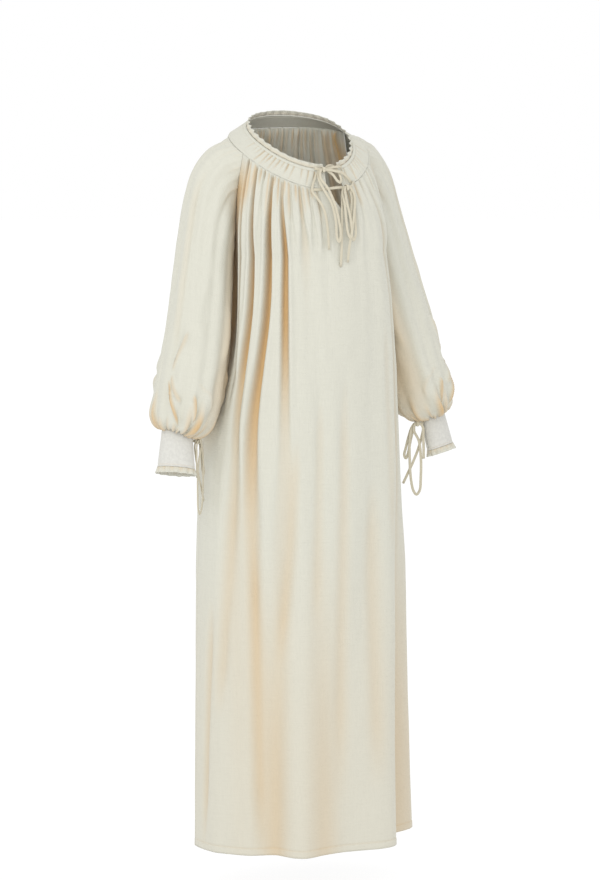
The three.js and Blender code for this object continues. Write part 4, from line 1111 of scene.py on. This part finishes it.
def centripetal(points, per_span):
    """Points on a centripetal curve through the given ones."""
    pts = [np.array(p, float) for p in points]
    pts = [2 * pts[0] - pts[1]] + pts + [2 * pts[-1] - pts[-2]]
    out = []
    for p0, p1, p2, p3 in zip(pts, pts[1:], pts[2:], pts[3:]):
        spans = (p1 - p0, p2 - p1, p3 - p2)
        d0, d1, d2 = (max(float(np.sum(span**2)) ** 0.25, 1e-4) for span in spans)
        t1 = ((p1 - p0) / d0 - (p2 - p0) / (d0 + d1) + (p2 - p1) / d1) * d1
        t2 = ((p2 - p1) / d1 - (p3 - p1) / (d1 + d2) + (p3 - p2) / d2) * d1
        square, cube = 3 * (p2 - p1) - 2 * t1 - t2, 2 * (p1 - p2) + t1 + t2
        out += [p1 + t1 * t + square * t**2 + cube * t**3 for t in np.arange(per_span) / per_span]
    return np.array(out + [pts[-2]])


def ring_object(name, rings, wrap, along, around, material):
    """A closed object from rings of points in millimetres, with its cloth coordinates in metres."""
    count, size = rings.shape[:2]
    faces = []
    for i in range(count if wrap else count - 1):
        for j in range(size):
            n, k = (i + 1) % count, (j + 1) % size
            faces.append((i * size + j, i * size + k, n * size + k, n * size + j))
    if not wrap:
        end = (count - 1) * size
        faces += [tuple(range(size))[::-1], tuple(range(end, end + size))]
    mesh = bpy.data.meshes.new(name)
    mesh.from_pydata((rings.reshape(-1, 3) * MM).tolist(), [], faces)
    layer = mesh.uv_layers.new(name="cloth")
    for loop in mesh.loops:
        i, j = divmod(loop.vertex_index, size)
        layer.data[loop.index].uv = (along[i] * MM, j * around * MM)
    mesh.polygons.foreach_set("use_smooth", np.ones(len(mesh.polygons), bool))
    # the faces look outwards
    if sum(face.center.dot(face.normal) * face.area for face in mesh.polygons) < 0:
        mesh.flip_normals()
    mesh.materials.append(material)
    return link_object(name, mesh)


def tape_object(name, points, face, material):
    """A flat stitched tape along its route, its face kept towards the given side."""
    face = np.array(face, float)
    line = centripetal(points, 4)
    along = unit(np.gradient(line, axis=0))
    normal = unit(face - along * (along @ face)[:, None])
    across = np.cross(along, normal)
    w, t = TAPE_WIDTH / 2, TAPE_THICKNESS / 2
    # one edge of the section: rounded, with a stitched groove near it
    edge = ((-t, w - 1.0), (-t * 0.75, w - 0.25), (0, w), (t * 0.75, w - 0.25), (t, w - 1.0),
            (t * 0.72, w - 1.5), (t * 0.95, w - 2.1))
    section = [(a, -b) for a, b in edge] + list(edge[::-1])
    rings = np.array([[p + n * a + s * b for a, b in section] for p, n, s in zip(line, normal, across)])
    length = np.concatenate(([0], np.cumsum(np.linalg.norm(np.diff(line, axis=0), axis=1))))
    return ring_object(name, rings, False, length, 12 / len(section), material), line * MM


def knot_object(name, centre, along, out, material):
    """The knot, a short soft wrap round the tapes."""
    along, out = unit(np.array(along, float)), unit(np.array(out, float))
    up = np.cross(along, out)
    rings = []
    for a in np.arange(40) / 40 * 2 * math.pi:
        round_off = (math.cos(a) ** 4 + math.sin(a) ** 4) ** -0.25
        ring = []
        for b in np.arange(12) / 12 * 2 * math.pi:
            # section of the wrap: thick is 1 outside and -1 inside
            side, thick = math.sin(b), math.cos(b)
            crease = 0.25 * math.sin(3 * a + 2 * side) - 0.3
            grow = 0.5 + 0.5 * thick
            wide = KNOT_HALF * side * (1 - 0.12 * math.cos(2 * a))
            deep = math.cos(a) * round_off * lerp(4.7, 6.7 + crease, grow)
            high = math.sin(a) * round_off * lerp(3.5, 5.6 + crease, grow)
            ring.append(np.array(centre) + out * deep + up * high + along * wide)
        rings.append(ring)
    return ring_object(name, np.array(rings), True, np.arange(40) * 0.9, 0.9, material)


def declare_tie(obj, node):
    """Attaches a tape to the body and hides its CAD part."""
    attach(obj, "root")
    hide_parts(node)


class CHEMISE_OT_ties(Operator):
    """Stitched tapes tied in bows at the slit and inside the cuffs"""

    bl_idname = "chemise.ties"
    bl_label = "Ties"

    def execute(self, context):
        """Builds the four bows."""
        # tapes in the darker tape colour, which paints their shade
        cloth = linen_material("linen_stitched_tape", context.scene.chemise_colours.tape)
        bows = []
        for name, knot in (("neck_upper", NECK_UPPER_KNOT), ("neck_lower", NECK_LOWER_KNOT)):
            places = [[neck_place(knot, p) for p in tie_route(TIES[f"{name}_{k}"])] for k in "ab"]
            centre = neck_place(knot, (0, 0, KNOT_MIDDLE))
            bows.append((name, places, centre, (1, 0, 0), (0, -1, 0)))
        for side, sign in (("left", 1), ("right", -1)):
            face = (sign * CUFF_ACROSS[1], -CUFF_ACROSS[0], 0)
            along = (sign * CUFF_ACROSS[0], CUFF_ACROSS[1], 0)
            places = [[cuff_place(sign, p) for p in tie_route(TIES[f"cuff_{k}"])] for k in "ab"]
            bows.append((f"cuff_{side}", places, cuff_place(sign, (0, 0, KNOT_MIDDLE)), along, face))
        for name, places, centre, along, face in bows:
            knot = knot_object(f"tie_{name}_knot_cloth", centre, along, face, cloth)
            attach(knot, "root")
            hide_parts(f"tie_{name}_knot")
            for k, route in zip("ab", places):
                obj, line = tape_object(f"tie_{name}_{k}_cloth", route, face, cloth)
                declare_tie(obj, f"tie_{name}_{k}")
        return {"FINISHED"}


# ---------------------------------------------------------------- materials


def add_node(tree, kind, settings=None, links=None):
    """Adds one node with its settings, input values and incoming links."""
    node = tree.nodes.new(kind)
    for key, value in (settings or {}).items():
        if isinstance(key, str) and hasattr(node, key):
            setattr(node, key, value)
        else:
            node.inputs[key].default_value = value
    for key, source in (links or {}).items():
        tree.links.new(source, node.inputs[key])
    return node


def thread_noise(tree, cloth, scale, detail=2.0, roughness=0.6):
    """Noise on the cloth coordinates, stretched along one of them."""
    place = add_node(tree, "ShaderNodeMapping", {"Scale": scale}, {"Vector": cloth})
    values = {"Scale": 1.0, "Detail": detail, "Roughness": roughness}
    return add_node(tree, "ShaderNodeTexNoise", values, {"Vector": place.outputs[0]}).outputs["Fac"]


def linen_material(name, colour, mottled=False):
    """Woven linen: matte, slubby threads, painted shade deep in the folds, soft sheen of the fibre ends."""
    if name in bpy.data.materials:
        return bpy.data.materials[name]
    colours = bpy.context.scene.chemise_colours
    material = bpy.data.materials.new(name)
    material.use_nodes = True
    tree = material.node_tree
    tree.nodes.clear()
    output = add_node(tree, "ShaderNodeOutputMaterial")
    cloth = add_node(tree, "ShaderNodeUVMap", {"uv_map": "cloth"}).outputs["UV"]
    # slubs along both threads: the real 0.5 mm thread is too fine to show, so about 2 mm
    weft, warp = thread_noise(tree, cloth, (26, 520, 1)), thread_noise(tree, cloth, (560, 22, 1))
    both = add_node(tree, "ShaderNodeMath", {"operation": "ADD"}, {0: weft, 1: warp})
    # soft rumples a few centimetres across
    rumple = thread_noise(tree, cloth, (34, 17, 1), 3.0, 0.55)
    light = tuple(min(1, c * 1.01) for c in colour) + (1,)
    dark = tuple(c * 0.965 for c in colour) + (1,)
    shade = add_node(tree, "ShaderNodeMapRange", {"From Min": 0.7, "From Max": 1.3},
                     {"Value": both.outputs[0]})
    base = add_node(tree, "ShaderNodeMix", {"data_type": "RGBA", 6: dark, 7: light}, {0: shade.outputs[0]})
    # painted shade deep in the folds, read from the fold attribute, warmer like light reflected between the
    # folds
    fold = add_node(tree, "ShaderNodeAttribute", {"attribute_name": "fold"})
    depth = add_node(tree, "ShaderNodeMapRange", {"From Min": 0.06, "From Max": 1.0, "To Max": 0.85},
                     {"Value": fold.outputs["Fac"]})
    shaded_colour = add_node(tree, "ShaderNodeMix", {"data_type": "RGBA", 7: tuple(colours.fold_shade) + (1,)},
                      {0: depth.outputs[0], 6: base.outputs[2]})
    colour_out = shaded_colour.outputs[2]
    if mottled:
        # tone on tone mottled weave, motifs a few millimetres across
        spot = add_node(tree, "ShaderNodeTexNoise", {"Scale": 190.0, "Detail": 2.0, "Roughness": 0.5},
                        {"Vector": cloth})
        step = add_node(tree, "ShaderNodeMapRange",
                        {"From Min": 0.44, "From Max": 0.58, "To Min": 0.955, "To Max": 1.01},
                        {"Value": spot.outputs["Fac"]})
        motif = add_node(tree, "ShaderNodeMix", {"data_type": "RGBA", "blend_type": "MULTIPLY", 0: 1.0},
                         {6: colour_out, 7: step.outputs[0]})
        colour_out = motif.outputs[2]
    height = add_node(tree, "ShaderNodeMath", {"operation": "MULTIPLY", 1: 0.35}, {0: both.outputs[0]})
    total = add_node(tree, "ShaderNodeMath", {"operation": "ADD"}, {0: height.outputs[0], 1: rumple})
    fine = add_node(tree, "ShaderNodeBump", {"Strength": 0.2, "Distance": 0.001}, {"Height": both.outputs[0]})
    bump = add_node(tree, "ShaderNodeBump", {"Strength": 0.28, "Distance": 0.004},
                    {"Height": total.outputs[0], "Normal": fine.outputs[0]})
    shader = add_node(
        tree, "ShaderNodeBsdfPrincipled",
        {"Roughness": 0.88, "Specular IOR Level": 0.22, "Sheen Weight": 0.18, "Sheen Roughness": 0.5,
         "Sheen Tint": (1.0, 1.0, 0.97, 1.0)},
        {"Base Color": colour_out, "Normal": bump.outputs[0]},
    )
    tree.links.new(shader.outputs[0], output.inputs[0])
    return material


# ---------------------------------------------------------------- stage


def aim(obj, place, target):
    """Puts a lamp or camera at a place and turns it to a point."""
    obj.location = place
    obj.rotation_euler = (Vector(target) - Vector(place)).to_track_quat("-Z", "Y").to_euler()


def area_light(name, place, target, size, energy, colour):
    """A large soft lamp turned to a point."""
    data = bpy.data.lights.new(name, "AREA")
    data.shape = "RECTANGLE"
    data.size, data.size_y = size
    data.energy = energy
    data.color = colour
    aim(link_object(name, data), place, target)


class CHEMISE_OT_stage(Operator):
    """Pale seamless floor, soft light and the camera"""

    bl_idname = "chemise.stage"
    bl_label = "Stage, light and camera"

    def execute(self, context):
        """Builds the stage."""
        scene = context.scene
        azimuth, elevation = (math.radians(a) for a in CAMERA_ANGLES)
        level = math.cos(elevation)
        back = Vector((math.sin(azimuth) * level, -math.cos(azimuth) * level, math.sin(elevation)))
        distance = scene.chemise_sizes.camera_distance
        data = bpy.data.cameras.new("camera")
        data.lens = data.sensor_width * distance / (PICTURE_HEIGHT * MM)
        data.clip_end = 60
        scene.camera = link_object("camera", data)
        aim(scene.camera, Vector(CAMERA_TARGET) + back * distance, CAMERA_TARGET)
        bpy.ops.object.select_all(action="DESELECT")
        bpy.ops.mesh.primitive_circle_add(
            vertices=96, radius=14, fill_type="NGON", location=(0, 0, (HEM - FLOOR_DROP) * MM),
        )
        floor = context.active_object
        floor.name = "pale_floor"
        material = bpy.data.materials.new("matt_white_paint")
        material.use_nodes = True
        shader = material.node_tree.nodes["Principled BSDF"]
        paint = tuple(0.12 * c for c in scene.chemise_colours.backdrop) + (1,)
        # a floor as even and bright as the backdrop, so it mostly gives its own light
        for socket, value in (("Base Color", paint), ("Roughness", 0.95), ("Specular IOR Level", 0.0),
                              ("Emission Color", (1, 1, 1, 1)), ("Emission Strength", 0.92)):
            shader.inputs[socket].default_value = value
        floor.data.materials.append(material)
        world = bpy.data.worlds.new("studio")
        world.use_nodes = True
        # a white backdrop, which gives most of the soft light
        backdrop = world.node_tree.nodes["Background"]
        backdrop.inputs[0].default_value = (1.0, 1.0, 1.0, 1)
        backdrop.inputs[1].default_value = 1.0
        scene.world = world
        area_light("key_light", (-2.5, -1.9, 1.6), (0, 0, -0.3), (0.8, 1.2), 20, (1.0, 1.0, 0.99))
        area_light("fill_light", (-3.0, -5.3, 0.8), (0, 0, -0.55), (2.0, 2.0), 56, (1.0, 0.985, 0.955))
        scene.view_settings.view_transform = "Standard"
        scene.view_settings.look = "None"
        return {"FINISHED"}


# ---------------------------------------------------------------- add-on


class CHEMISE_PT_panel(Panel):
    """Lists the pieces of the dress in the sidebar"""

    bl_label = "Chemise dress"
    bl_idname = "CHEMISE_PT_panel"
    bl_space_type = "VIEW_3D"
    bl_region_type = "UI"
    bl_category = "Chemise"

    def draw(self, context):
        """Draws the settings and the buttons."""
        layout = self.layout
        for group in (context.scene.chemise_sizes, context.scene.chemise_colours):
            for name in group.bl_rna.properties.keys():
                if name not in ("rna_type", "name"):
                    layout.prop(group, name)
        for operator in OPERATORS:
            layout.operator(operator.bl_idname)


OPERATORS = (
    CHEMISE_OT_stage,
    CHEMISE_OT_ties,
    CHEMISE_OT_body,
    CHEMISE_OT_sleeves,
    CHEMISE_OT_neck,
    CHEMISE_OT_cuffs,
)
CLASSES = (ChemiseSizes, ChemiseColours) + OPERATORS + (CHEMISE_PT_panel,)


def register():
    """Registers the classes and the scene's settings."""
    for cls in CLASSES:
        bpy.utils.register_class(cls)
    bpy.types.Scene.chemise_sizes = PointerProperty(type=ChemiseSizes)
    bpy.types.Scene.chemise_colours = PointerProperty(type=ChemiseColours)


def unregister():
    """Removes the settings and the classes."""
    del bpy.types.Scene.chemise_colours
    del bpy.types.Scene.chemise_sizes
    for cls in reversed(CLASSES):
        bpy.utils.unregister_class(cls)


def main():
    """Builds the whole dress."""
    register()
    bpy.ops.chemise.stage()
    bpy.ops.chemise.ties()
    bpy.ops.chemise.body()
    bpy.ops.chemise.sleeves()
    bpy.ops.chemise.neck()
    bpy.ops.chemise.cuffs()


if __name__ == "__main__":
    main()
